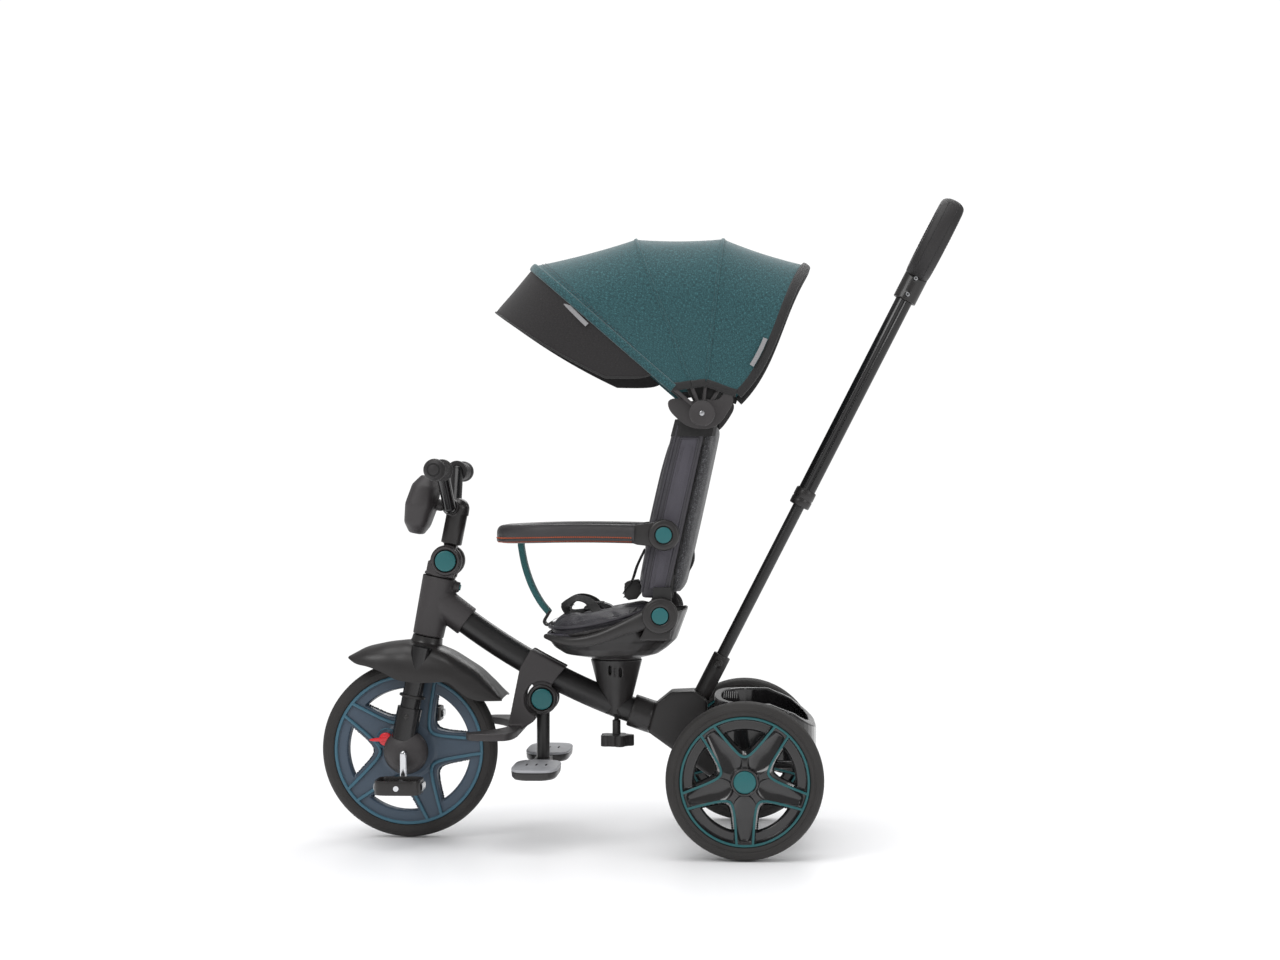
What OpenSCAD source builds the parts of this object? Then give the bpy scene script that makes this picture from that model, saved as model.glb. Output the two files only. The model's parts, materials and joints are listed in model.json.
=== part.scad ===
// Children's push tricycle with a swivelling, reclining seat and a folding canopy.
// The front wheel points to -X, the push bar is at +X, and +Z is up.
// The origin lies on the ground under the middle of the whole trike.

/* [Wheels] */
// Distance between the front and rear axles
wheelbase = 571; // [520:1:690]
// Distance between the middles of the two rear tyres
rear_track = 440; // [360:1:530]
// Front wheel diameter over the tyre
front_wheel_d = 300; // [250:1:360]
// Rear wheel diameter over the tyre
rear_wheel_d = 254; // [210:1:305]
// Width of each tyre
tyre_w = 44; // [34:1:53]
// Height of a tyre's section above its rim
tyre_h = 23; // [16:1:28]
// Diameter of both axles
axle_d = 12; // [8:1:16]
// Length of each crank from the axle to the pedal spindle
crank_len = 48; // [40:1:58]
// Pedal length, fore and aft
pedal_l = 78; // [60:1:94]
// Pedal width, across
pedal_w = 72; // [55:1:87]

/* [Steering] */
// Backward lean of the steering axis in degrees
steer_tilt = 11.3; // [8:0.1:14]
// Distance between the two fork legs
fork_track = 100; // [95:1:124]
// Diameter of each fork leg
leg_d = 34; // [26:1:38]
// Height of the head casing
head_h = 102; // [85:1:125]
// Diameter of the steering column
column_d = 30; // [24:1:36]
// Diameter of the stem above the fold hinge
stem_d = 36; // [28:1:40]
// Width of the handlebar over its grips
bar_w = 410; // [340:1:490]
// Gap between the tyre and the head casing
crown_gap = 47; // [42:1:60]

/* [Frame] */
// Diameter of the main tube
tube_d = 44; // [36:1:52]
// Wall of the main tube
tube_wall = 2.5; // [1.5:0.1:4]
// How far the main tube bows below a straight line
tube_sag = 20; // [10:1:30]
// Distance of the foot-peg hinge ahead of the seat's swivel axis
peg_ahead = 125; // [110:1:135]
// Length of the foot-peg bar below its hinge
peg_drop = 108; // [80:1:125]
// Width over both foot pegs
peg_w = 400; // [320:1:480]

/* [Seat] */
// Height of the underside of the seat shell
seat_z = 309; // [300:1:360]
// Length of the seat shell
seat_l = 236; // [200:1:260]
// Width of the seat shell
seat_w = 280; // [235:1:300]
// Height of the backrest above the recline hinge
back_h = 317; // [270:1:370]
// Width of the soft back
back_w = 243; // [200:1:250]
// Reach of the safety bar ahead of its pivot
guard_reach = 269; // [235:1:310]
// Thickness of the safety bar's cover
guard_cover_d = 30; // [26:1:36]

/* [Canopy] */
// Width of the canopy at its front hoop
canopy_w = 344; // [330:1:400]
// Reach of the front hoop from the canopy pivot
front_hoop_r = 373; // [320:1:420]
// Reach of the other hoops from the canopy pivot
hoop_r = 300; // [260:1:340]
// Angle between neighbouring hoops in degrees
hoop_step = 27.5; // [20:0.5:30]
// Diameter of each hoop's wire
hoop_d = 7; // [5:0.5:8]

/* [Push bar] */
// Backward lean of the push bar in degrees
push_lean = 27.1; // [24:0.1:32]
// Diameter of the lower push-bar tube
push_inner_d = 20; // [16:1:24]
// Diameter of the sliding upper tube
push_outer_d = 30; // [27:1:34]
// Length of the lower tube that shows below the collar
push_show = 355; // [300:1:400]
// Length of the sliding upper tube
push_upper_l = 394; // [330:1:450]
// Radius of the handle loop's centre line
loop_r = 62; // [50:1:75]

/* [Clearances] */
// Radial gap of a part that turns or slides on another
run_gap = 0.06; // [0.02:0.01:0.1]
// Side gap between parts that move past each other
side_gap = 0.6; // [0.4:0.1:1]
// Gap around a push button in its recess
button_gap = 0.4; // [0.3:0.1:0.6]

/* [Hidden] */

$fn = 48;

front_r = front_wheel_d / 2;
rear_r = rear_wheel_d / 2;
rear_x = 178;
front_x = rear_x - wheelbase;
axle_r = axle_d / 2;

// Steering: the axis passes just ahead of the front axle.
axis_ahead = 8;
steer_x = front_x - axis_ahead;
head_s0 = front_r + crown_gap;
head_s1 = head_s0 + head_h;
head_d = column_d + 28;
fold_s = head_s1 + 30;
fold_x = 8;
ear_in = 13;
ear_out = 27;
stem_s = fold_s + 92;
grip_s = stem_s + 59;
grip_x = -19;
bar_d = 22;
grip_d = 30;
fork_y = fork_track / 2;
sleeve_d = leg_d + 8;
hub_cover_r = 37;
hub_cover_y = 24;
crank_y = fork_y + 30;
crank_d = 12;
spindle_d = 9;
button_r = 18;
button_t = 5;
press = 3;

// Main tube: a circular arc from the steering axis down to the rear casing.
tube_a = [steer_x + (head_s0 + 67) * sin(steer_tilt), front_r + (head_s0 + 67) * cos(steer_tilt)];
tube_b = [rear_x - 161, rear_r + 80];
tube_chord = norm(tube_b - tube_a);
tube_r = pow(tube_chord, 2) / (8 * tube_sag) + tube_sag / 2;
tube_dir = atan2(tube_b[1] - tube_a[1], tube_b[0] - tube_a[0]);
tube_half = asin(tube_chord / 2 / tube_r);
tube_c = (tube_a + tube_b) / 2 + (tube_r - tube_sag) * [-sin(tube_dir), cos(tube_dir)];
tube_len = 2 * tube_half * PI / 180 * tube_r;
tube_start = 46;
collar_len = 68;
function tube_z(x) = tube_c[1] - sqrt(pow(tube_r, 2) - pow(x - tube_c[0], 2));
function tube_slope(x) = atan((x - tube_c[0]) / sqrt(pow(tube_r, 2) - pow(x - tube_c[0], 2)));

// Seat: everything above is placed from its swivel axis.
seat_x = -40;
peg_x = seat_x - peg_ahead;
peg_z = tube_z(peg_x) - tube_d / 2 - 25;
peg_hub_r = 26;
peg_tube_d = 22;
pedestal_d = 88;
turntable_t = 4;
spigot_d = 30;
recline = [seat_x + 80, seat_z + 77];
recline_y = 149;
hinge_r = 24;
pin_d = 12;
guard = [recline[0] + 6, recline[1] + 132];
guard_y = 146;
guard_d = 18;
guard_bend = 90;
guard_front = guard[0] - guard_reach;
canopy = [recline[0] + 69, recline[1] + back_h + 13];
canopy_disc_r = 21;
canopy_pin_d = 10;
back_y = back_w / 2;
plate_t = 5;
hoop_a = 56;
hoop_bend = 110;
hoop_pitch = 7;
skin_gap = 1.2;
skin_t = 2;

// Push bar: distances are measured along it from the foot of its socket.
push_foot = [rear_x - 78, rear_r + 106];
socket_l = 88;
collar_s = socket_l + push_show - 70;
clamp_s = collar_s + push_upper_l;
loop_s = clamp_s + 48 + loop_r;
push_d = [sin(push_lean), cos(push_lean)];

module y_bar(p, y0, y1, d) {
    translate([p[0], y0, p[1]]) rotate([-90, 0, 0]) cylinder(h = y1 - y0, d = d);
}

module y_slab(y0, y1) {
    translate([0, y1, 0]) rotate([90, 0, 0]) linear_extrude(y1 - y0) children();
}

module rod(a, b, d) {
    v = b - a;
    translate(a) rotate([0, acos(v[2] / norm(v)), atan2(v[1], v[0])]) cylinder(h = norm(v), d = d);
}

module both_sides() {
    children();
    mirror([0, 1, 0]) children();
}

module in_steering() {
    translate([steer_x, 0, front_r]) rotate([0, steer_tilt, 0]) children();
}

module in_push_bar() {
    translate([push_foot[0], 0, push_foot[1]]) rotate([0, push_lean, 0]) children();
}

// A ring of points in a level or sloping plane, rounded like a superellipse.
function ring(x0, x1, half, z, n = 2.6, slope = 0, m = 28) =
    [for (i = [0:m - 1]) let (a = 360 * i / m, c = cos(a), s = sin(a),
        x = (x0 + x1) / 2 + (x1 - x0) / 2 * sign(c) * pow(abs(c), 2 / n))
        [x, half * sign(s) * pow(abs(s), 2 / n), z + slope * (x - x0)]];

// A closed skin over a stack of rings that have equal numbers of points.
module loft(rings) {
    n = len(rings[0]);
    m = len(rings);
    sides = [for (j = [0:m - 2], i = [0:n - 1]) each [
        [j * n + i, (j + 1) * n + (i + 1) % n, j * n + (i + 1) % n],
        [j * n + i, (j + 1) * n + i, (j + 1) * n + (i + 1) % n]]];
    caps = [[for (i = [0:n - 1]) i], [for (i = [n - 1:-1:0]) (m - 1) * n + i]];
    polyhedron([for (r = rings) each r], concat(sides, caps));
}

// A length of the main tube's arc, measured from its front end.
module tube_arc(l0, l1, d) {
    a0 = tube_dir - 90 - tube_half + l0 / tube_r * 180 / PI;
    translate([tube_c[0], 0, tube_c[1]]) rotate([90, 0, 0]) rotate([0, 0, a0])
        rotate_extrude(angle = (l1 - l0) / tube_r * 180 / PI, $fn = 96)
            translate([tube_r, 0]) circle(d = d);
}

// ---- Frame

module main_tube() {
    color("#2b2a2b") difference() {
        tube_arc(tube_start, tube_len + 12, tube_d);
        tube_arc(tube_start - 1, tube_len + 13, tube_d - 2 * tube_wall);
        translate([seat_x, 0, tube_z(seat_x) - tube_d]) cylinder(h = 3 * tube_d, d = 8.4);
    }
}

module head_casing() {
    color("#3c3739") difference() {
        union() {
            in_steering() translate([0, 0, head_s0]) cylinder(h = head_h, d1 = head_d - 5, d2 = head_d);
            in_steering() translate([0, 0, head_s1 - 11]) rotate([0, 90, 0]) cylinder(h = head_d / 2 + 8, d = 18);
            tube_arc(0, collar_len, tube_d + 9);
        }
        in_steering() translate([0, 0, head_s0 - 1]) cylinder(h = head_h + 2, r = column_d / 2 + run_gap);
        in_steering() translate([0, 0, head_s1]) cylinder(h = head_h, d = 3 * head_d);
        tube_arc(tube_start - 1, collar_len + 1, tube_d + 0.1);
        in_steering() translate([head_d / 2 + 0.4, 0, head_s1 - 11]) rotate([0, 90, 0]) cylinder(h = 9, d = 11);
    }
}

module head_button() {
    color("#28726f") in_steering() translate([head_d / 2 + 4, 0, head_s1 - 11])
        rotate([0, 90, 0]) cylinder(h = 5.6, d = 10.2);
}

module rear_casing() {
    arm_y = rear_track / 2 - tyre_w / 2 - 6;
    color("#2e2d2e") difference() {
        union() {
            tube_arc(tube_len - 34, tube_len + 14, tube_d + 12);
            y_slab(-34, 34) polygon([[tube_b[0] - 2, rear_r + 56], [tube_b[0] + 12, rear_r + 104],
                [push_foot[0] - 46, rear_r + 124], [push_foot[0] - 6, rear_r + 126],
                [push_foot[0] + 14, rear_r + 112], [push_foot[0] + 18, rear_r + 20],
                [rear_x + 20, rear_r + 10], [rear_x + 20, rear_r - 18], [rear_x - 60, rear_r - 18]]);
            y_bar([rear_x, rear_r], -arm_y, arm_y, 36);
        }
        tube_arc(tube_len - 35, tube_len + 12, tube_d + 0.1);
        y_bar([rear_x, rear_r], -arm_y - 1, arm_y + 1, axle_d + 0.1);
        in_push_bar() translate([0, 0, 8]) cylinder(h = socket_l, d = push_outer_d + 0.1);
    }
}

module rear_axle() {
    half = rear_track / 2 + tyre_w / 2 - 3;
    color("silver") y_bar([rear_x, rear_r], -half, half, axle_d);
}

module rear_tray() {
    x0 = push_foot[0] + 27;
    x1 = rear_x + 120;
    half = rear_track / 2 - tyre_w / 2 - 42;
    z0 = rear_r + 22;
    top = rear_r + 96;
    wall = 4;
    color("#2b2a2c") difference() {
        translate([0, 0, z0]) linear_extrude(top + 24 - z0)
            polygon([for (p = ring(x0, x1, half, 0, 3.4, 0, 40)) [p[0], p[1]]]);
        translate([0, 0, z0 + wall]) linear_extrude(top + 24 - z0)
            polygon([for (p = ring(x0 + 12, x1 - 14, half - 14, 0, 3, 0, 40)) [p[0], p[1]]]);
        y_slab(-half - 1, half + 1) polygon([[x0 - 1, top + 22], [x0 + 92, top + 20], [x1 - 40, top + 4],
            [x1 + 1, top - 26], [x1 + 1, top + 30], [x0 - 1, top + 30]]);
    }
}

module push_socket() {
    color("#353435") in_push_bar() {
        difference() {
            union() {
                translate([0, 0, 8]) cylinder(h = socket_l - 8, d = push_outer_d);
                translate([0, 0, socket_l - 16]) rotate([90, 0, 0])
                    cylinder(h = push_outer_d + 8, d = 12, center = true);
            }
            translate([0, 0, 14]) cylinder(h = socket_l, d = push_inner_d + 0.1);
        }
    }
}

module push_lower_tube() {
    overlap = 150;
    color("#222122") in_push_bar() difference() {
        translate([0, 0, 14]) cylinder(h = collar_s + overlap - 14, d = push_inner_d);
        translate([0, 0, 13]) cylinder(h = collar_s + overlap, d = push_inner_d - 4);
    }
}

// The block that joins the foot-peg hinge to the underside of the main tube.
module peg_saddle(extra) {
    translate([peg_x, tube_z(peg_x)]) rotate(tube_slope(peg_x))
        translate([-24 - extra, -tube_d / 2 - 6 - extra]) square([50 + 2 * extra, 17 + 2 * extra]);
}

module peg_bracket() {
    hub = [peg_x, peg_z];
    color("#3a3839") difference() {
        union() {
            y_slab(-ear_out + 1, ear_out - 1) union() {
                translate(hub) circle(r = peg_hub_r);
                peg_saddle(0);
            }
        }
        tube_arc(tube_start, tube_len, tube_d + 0.1);
        y_slab(-ear_in, ear_in) translate(hub) circle(r = peg_hub_r + 3);
        y_slab(-ear_in, ear_in) translate(hub + [-60, -70]) square([120, 60]);
        y_slab(-ear_in, ear_in) polygon([hub, hub + [80, -10], hub + [80, 12], hub + [20, 12]]);
        y_bar(hub, -ear_out, -ear_out + 5, 2 * (button_r + button_gap));
    }
    color("silver") y_bar(hub, -ear_in - 3, ear_in + 3, 10);
}

module peg_button() {
    color("#28726f") y_bar([peg_x, peg_z], -ear_out - 4, -ear_out + 1.6, 2 * button_r);
}

module seat_pedestal() {
    top = seat_z - turntable_t - side_gap;
    foot = tube_z(seat_x) - tube_d / 2 + 4;
    color("#2a2a2b") difference() {
        translate([seat_x, 0, foot]) cylinder(h = top - foot, d1 = 40, d2 = pedestal_d);
        tube_arc(tube_start, tube_len, tube_d + 0.1);
        translate([seat_x, 0, top - 34]) cylinder(h = 40, r = spigot_d / 2 + run_gap);
        translate([seat_x, 0, foot - 50]) cylinder(h = 120, d = 8.4);
        for (k = [-1:1])
            translate([seat_x + 9 * k - 1.8, -pedestal_d, top - 27 - 2 * k]) cube([3.6, 60, 16]);
        translate([seat_x - 60, -60, foot - 20]) cube([120, 120, tube_d / 2]);
    }
}

module footrest_profile() {
    polygon([[peg_x - 3, peg_z + 92], [peg_x - 20, peg_z + 82], [peg_x - 42, peg_z + 44],
        [peg_x - 61, peg_z + 10], [peg_x - 73, peg_z - 7], [peg_x - 82, peg_z - 29],
        [peg_x - 74, peg_z - 56], [peg_x - 32, peg_z - 50], [peg_x - 14, peg_z - 38],
        [peg_x + 10, peg_z + 14], [peg_x + 28, peg_z + 40], [peg_x + 41, peg_z + 54],
        [peg_x + 50, peg_z + 66]]);
}

module footrest() {
    inner = tube_d / 2 + 6;
    outer = inner + 5;
    plate_z = peg_z - 57;
    color("#38383a") difference() {
        union() {
            intersection() {
                y_slab(-outer, outer) footrest_profile();
                union() {
                    tube_arc(tube_start, tube_len, tube_d + 7);
                    both_sides() translate([peg_x - 120, inner, plate_z]) cube([240, 5, 200]);
                    translate([peg_x - 76, -outer, plate_z]) cube([70, 2 * outer, 24]);
                }
                translate([peg_x - 200, -100, plate_z]) cube([400, 200, tube_z(peg_x) - plate_z + 40]);
            }
            translate([0, 0, plate_z]) linear_extrude(12)
                polygon([for (p = ring(peg_x - 120, peg_x - 34, 160, 0, 5, 0, 40)) [p[0], p[1]]]);
            tube_side_walls(inner, outer);
        }
        tube_arc(tube_start, tube_len, tube_d + 0.3);
        y_slab(-outer - 1, outer + 1) translate([peg_x, peg_z]) circle(r = peg_hub_r + 4);
        y_slab(-ear_out, ear_out) peg_saddle(0.5);
        y_slab(-outer - 1, outer + 1) polygon(concat([for (x = [peg_x - 40:10:peg_x + 70])
            [x, tube_z(x) + tube_d / 2 / cos(tube_slope(x)) + 2.5]], [[peg_x + 70, peg_z + 140], [peg_x - 40, peg_z + 140]]));
        y_slab(-outer - 1, outer + 1) polygon([[peg_x, peg_z - 30], [peg_x + 60, peg_z - 30],
            [peg_x + 60, peg_z + 12], [peg_x, peg_z]]);
        in_steering() translate([0, 0, -80]) cylinder(h = front_r + 130, r = front_r + 14);
        steering_sweep();
    }
}

// Short webs that join the footrest's side walls to its saddle over the tube.
module tube_side_walls(inner, outer) {
    intersection() {
        tube_arc(tube_start, tube_len, tube_d + 7);
        y_slab(-outer, outer) footrest_profile();
    }
}

// The room that the fender and the turned front wheel need behind them.
module steering_sweep() {
    in_steering() translate([0, 0, 40]) cylinder(h = front_r + 10, r = front_r + 20);
    in_steering() translate([0, 0, -60]) intersection() {
        cylinder(h = front_r + 100, r = front_r + 14);
        translate([-300, -fork_y - 44, 0]) cube([600, fork_track + 88, front_r + 100]);
    }
}

module seat_knob() {
    top = tube_z(seat_x) - tube_d / 2 / cos(tube_slope(seat_x)) - 3;
    color("#2c2c2d") translate([seat_x, 0, 0]) {
        translate([0, 0, top - 44]) linear_extrude(19) union() {
            circle(d = 46);
            for (k = [0:4]) rotate(72 * k) translate([21, 0]) circle(d = 18);
        }
        translate([0, 0, top - 30]) cylinder(h = 30, d = 14);
        translate([0, 0, top - 8]) cylinder(h = tube_d + 21, d = 8);
    }
}

// ---- Steering

module steering_column() {
    color("#343334") in_steering() difference() {
        union() {
            translate([0, 0, front_r + 12]) cylinder(h = head_s1 + 2 - front_r - 12, d = column_d);
            translate([0, 0, head_s1 + 1]) cylinder(h = 5, d = head_d - 4);
            both_sides() y_slab(ear_in, ear_out) union() {
                translate([fold_x, fold_s]) circle(r = 27);
                translate([-22, head_s1 + 3]) square([48, 22]);
            }
            y_bar([fold_x, fold_s], -ear_in - 2, ear_in + 2, 10);
            y_bar([fold_x, fold_s], -ear_out - 6, -ear_out, 48);
        }
        y_bar([fold_x, fold_s], -ear_out - 7, -ear_out - 1, 2 * (button_r + 1 + button_gap));
    }
}

module leg_shape(extra) {
    in_steering() {
        both_sides() translate([0, fork_y, 30]) cylinder(h = front_r, d = leg_d + extra);
        translate([-leg_d / 2 + 2, -fork_y - extra, front_r + 14 - extra / 2])
            cube([leg_d - 4 + extra, fork_track + 2 * extra, 18 + extra]);
    }
}

module fork_legs() {
    color("#2f2d2e") difference() {
        union() {
            leg_shape(0);
            in_steering() both_sides() translate([0, fork_y, 22]) cylinder(h = 54, d = sleeve_d);
        }
        in_steering() cylinder(h = front_r + 40, d = column_d + 0.1);
    }
}

module hub_cover() {
    translate([front_x, fork_y, front_r]) rotate([-90, 0, 0]) rotate_extrude()
        polygon([for (k = [-9:9]) [hub_cover_r * cos(10 * k), hub_cover_y * sin(10 * k)]]);
}

module hub_covers() {
    color("#333134") difference() {
        both_sides() hub_cover();
        y_bar([front_x, front_r], -200, 200, axle_d + 2 * run_gap);
        y_slab(-fork_y + 20, fork_y - 20) translate([front_x, front_r]) circle(r = 60);
    }
}

fender_out = 36;
function rim_point(a, extra) = [front_x + (front_r + extra) * cos(a), front_r + (front_r + extra) * sin(a)];

module fender() {
    color("#282728") difference() {
        union() {
            y_slab(-36, 36) polygon(concat([for (a = [28:6:124]) rim_point(a, fender_out)],
                [rim_point(119, 14), rim_point(106, 0), rim_point(92, -24), rim_point(74, -26),
                rim_point(60, -11), rim_point(36, 0)]));
            y_slab(-fork_y - 18, fork_y + 18) polygon(concat(
                [for (a = [62:6:104]) rim_point(a, fender_out - 2)],
                [rim_point(102, 0), rim_point(92, -24), rim_point(74, -26), rim_point(64, 0)]));
            in_steering() translate([0, 0, front_r + 20])
                cylinder(h = crown_gap - 21, d1 = head_d + 14, d2 = head_d - 5);
        }
        y_bar([front_x, front_r], -tyre_w / 2 - 6, tyre_w / 2 + 6, front_wheel_d + 16);
        leg_shape(0.2);
        in_steering() cylinder(h = head_s0 + 60, d = column_d + 0.1);
    }
}

module clutch_lever() {
    y1 = -fork_y + 20 + 5.4;
    color("#cb262d") difference() {
        union() {
            y_bar([front_x, front_r], -fork_y + 20.6, y1, 34);
            y_slab(-fork_y + 20.6, y1) translate([front_x, front_r]) rotate(152) translate([0, -9])
                square([56, 18]);
            y_slab(-fork_y + 6, y1) translate([front_x, front_r]) rotate(152) translate([42, -9])
                square([14, 18]);
        }
        y_bar([front_x, front_r], -100, 100, axle_d + 2 * run_gap);
    }
}

// ---- Wheels

module tyre(r) {
    rotate([90, 0, 0]) rotate_extrude($fn = 96)
        polygon(concat([for (k = [0:12]) let (a = 15 * k)
            [r - tyre_h + tyre_h * pow(sin(a), 0.72), tyre_w / 2 * sign(cos(a)) * pow(abs(cos(a)), 0.72)]]));
}

// A window between two spokes: a curved outer side and a narrow inner end.
function window(r_in, r_out, half_in, half_out) = concat(
    [for (k = [-4:4]) r_out * [cos(half_out * k / 4), sin(half_out * k / 4)]],
    [for (k = [2:-1:-2]) r_in * [cos(half_in * k / 2), sin(half_in * k / 2)]]);

module rim(r, first, wide) {
    out = r - tyre_h - 0.1;
    rotate([90, 0, 0]) difference() {
        union() {
            difference() {
                cylinder(h = tyre_w - 8, r = out, center = true);
                for (side = [-1, 1])
                    translate([0, 0, side * (tyre_w / 2 + 6)]) cylinder(h = tyre_w - 14, r = out - 14, center = true);
                for (k = [0:4])
                    rotate([0, 0, first + 36 + 72 * k]) translate([0, 0, -tyre_w]) linear_extrude(2 * tyre_w)
                        polygon(window(0.34 * r, out - 20, wide * 0.35, wide));
            }
            cylinder(h = tyre_w - 4, r = 24, center = true);
        }
        cylinder(h = 2 * tyre_w, r = axle_r + run_gap, center = true);
    }
}

module front_tyre() {
    color("#353433") translate([front_x, 0, front_r]) tyre(front_r);
}

module front_rim() {
    color("#5f7380") translate([front_x, 0, front_r]) rim(front_r, 3, 23);
}

module crank_axle() {
    spindle_end = crank_y + 8 + pedal_w;
    color("silver") union() {
        y_bar([front_x, front_r], -crank_y, crank_y, axle_d);
        for (side = [-1, 1]) {
            z1 = front_r + side * crank_len;
            translate([front_x, side * crank_y, min(front_r, z1)]) cylinder(h = crank_len, d = crank_d);
            for (z = [front_r, z1]) translate([front_x, side * crank_y, z]) sphere(d = crank_d);
            y_bar([front_x, z1], min(side * crank_y, side * spindle_end),
                max(side * crank_y, side * spindle_end), spindle_d);
        }
    }
}

module pedal(side) {
    y0 = crank_y + 8;
    color("#2d2c2d") translate([front_x, side * (y0 + pedal_w / 2), front_r + side * crank_len]) difference() {
        translate([0, 0, -10]) linear_extrude(20) difference() {
            polygon([for (p = ring(-pedal_l / 2, pedal_l / 2, pedal_w / 2 - 1, 0, 5)) [p[0], p[1]]]);
            for (x = [-1, 1])
                translate([x * pedal_l / 4.2 - pedal_l / 9, -pedal_w / 2 + 10]) square([pedal_l / 4.5, pedal_w - 20]);
        }
        y_bar([0, 0], -pedal_w, pedal_w, spindle_d + 2 * run_gap);
    }
}

module pedal_left() {
    pedal(-1);
}

module pedal_right() {
    pedal(1);
}

module stem() {
    color("#2e2d2e") in_steering() difference() {
        union() {
            y_bar([fold_x, fold_s], -ear_in + side_gap, ear_in - side_gap, 46);
            translate([fold_x, 0, fold_s + 29]) cylinder(h = stem_s - fold_s - 22, d = stem_d);
            translate([fold_x - 11, -ear_in + side_gap, fold_s]) cube([22, 2 * (ear_in - side_gap), 36]);
            translate([fold_x - 11, 0, stem_s]) rotate([90, 0, 0]) cylinder(h = 60, d = 28, center = true);
            translate([fold_x - 11, 0, stem_s]) rotate([0, 90, 0]) cylinder(h = 22, d = 28, center = true);
        }
        y_bar([fold_x, fold_s], -30, 30, 10 + 2 * run_gap);
        y_bar([fold_x - 11, stem_s], -40, 40, bar_d + 0.1);
    }
}

module handlebar() {
    grip_y = bar_w / 2 - 110;
    mid = [fold_x - 11, 38, stem_s];
    out = [grip_x, grip_y, grip_s];
    color("#302f30") in_steering() {
        y_bar([mid[0], mid[2]], -mid[1], mid[1], bar_d);
        both_sides() {
            translate(mid) sphere(d = bar_d + 1);
            rod(mid, out, bar_d);
            translate(out) sphere(d = bar_d + 1);
            y_bar([out[0], out[2]], grip_y, bar_w / 2 - 3, bar_d);
        }
    }
}

module grips() {
    color("#2b2a2b") in_steering() both_sides() difference() {
        union() {
            y_bar([grip_x, grip_s], bar_w / 2 - 100, bar_w / 2, grip_d);
            y_bar([grip_x, grip_s], bar_w / 2 - 100, bar_w / 2 - 96, grip_d + 6);
            y_bar([grip_x, grip_s], bar_w / 2 - 4, bar_w / 2, grip_d + 4);
        }
        y_bar([grip_x, grip_s], bar_w / 2 - 101, bar_w / 2 - 3, bar_d + 0.1);
    }
}

module sound_pod() {
    s = stem_s - 57;
    color("#403b38") in_steering() {
        loft([ring(-66, -42, 26, s), ring(-77, -34, 42, s + 16, 2.8), ring(-81, -29, 50, s + 48, 3),
            ring(-76, -29, 46, s + 82, 2.8), ring(-64, -38, 30, s + 100)]);
        translate([-32, 0, stem_s - 2]) rotate([0, 90, 0]) cylinder(h = 32 - 3 - 14.2, d = 20);
    }
}

module fold_button() {
    color("#28726f") in_steering() y_bar([fold_x, fold_s], -ear_out - 9, -ear_out - 4.4, 2 * (button_r + 1));
}

module rear_tyre(side) {
    color("#353433") translate([rear_x, side * rear_track / 2, rear_r]) tyre(rear_r);
}

module rear_rim(side) {
    color("#2c2b2b") translate([rear_x, side * rear_track / 2, rear_r]) rim(rear_r, 54, 25);
}

module rear_cap(side) {
    y0 = rear_track / 2 + tyre_w / 2 - 2;
    color("#28726f") translate([rear_x, side * (y0 + 0.1), rear_r]) rotate([-90 * side, 0, 0]) cylinder(h = 5, r = 18.4);
}

module rear_tyre_left() {
    rear_tyre(-1);
}

module rear_tyre_right() {
    rear_tyre(1);
}

module rear_rim_left() {
    rear_rim(-1);
}

module rear_rim_right() {
    rear_rim(1);
}

module rear_cap_left() {
    rear_cap(-1);
}

module rear_cap_right() {
    rear_cap(1);
}

module peg_bar() {
    low = peg_z - peg_drop;
    color("#2e2d2e") difference() {
        union() {
            y_bar([peg_x, peg_z], -ear_in + side_gap, ear_in - side_gap, 2 * peg_hub_r - 14);
            translate([peg_x, 0, low]) cylinder(h = peg_drop, d = peg_tube_d);
            y_bar([peg_x, low], -peg_w / 2 + 6, peg_w / 2 - 6, 12);
            translate([peg_x - 14, -28, low - 8]) cube([28, 56, 14]);
        }
        y_bar([peg_x, peg_z], -20, 20, 10 + 2 * run_gap);
    }
}

module peg_pads() {
    pad_l = peg_w / 2 - 50;
    low = peg_z - peg_drop;
    color("#59585b") both_sides() difference() {
        translate([peg_x, 50 + pad_l / 2, low - 9]) linear_extrude(18)
            polygon([for (p = ring(-39, 39, pad_l / 2, 0, 4.5)) [p[0], p[1]]]);
        y_bar([peg_x, low], 0, peg_w, 12.1);
    }
}

// ---- Seat

module seat_turntable() {
    color("#242424") {
        translate([seat_x, 0, seat_z - turntable_t]) cylinder(h = turntable_t - 0.1, d = pedestal_d - 4);
        translate([seat_x, 0, seat_z - 36]) cylinder(h = 36 - turntable_t + 1, d = spigot_d);
    }
}

seat_x0 = seat_x + 5 - seat_l / 2;
seat_x1 = seat_x0 + seat_l;
seat_half = seat_w / 2;

module seat_shell() {
    lip = 0.2;
    color("#292523") loft([
        ring(seat_x0 + 70, seat_x1 - 78, seat_half - 72, seat_z),
        ring(seat_x0 + 26, seat_x1 - 50, seat_half - 36, seat_z + 7),
        ring(seat_x0 + 9, seat_x1 - 34, seat_half - 18, seat_z + 18),
        ring(seat_x0, seat_x1 - 20, seat_half - 7, seat_z + 31, 2.8),
        ring(seat_x0, seat_x1, seat_half, seat_z + 38, 3, lip),
        ring(seat_x0 + 5, seat_x1 - 6, seat_half - 5, seat_z + 38, 3, lip),
        ring(seat_x0 + 14, seat_x1 - 38, seat_half - 20, seat_z + 22, 2.8)]);
}

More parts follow.
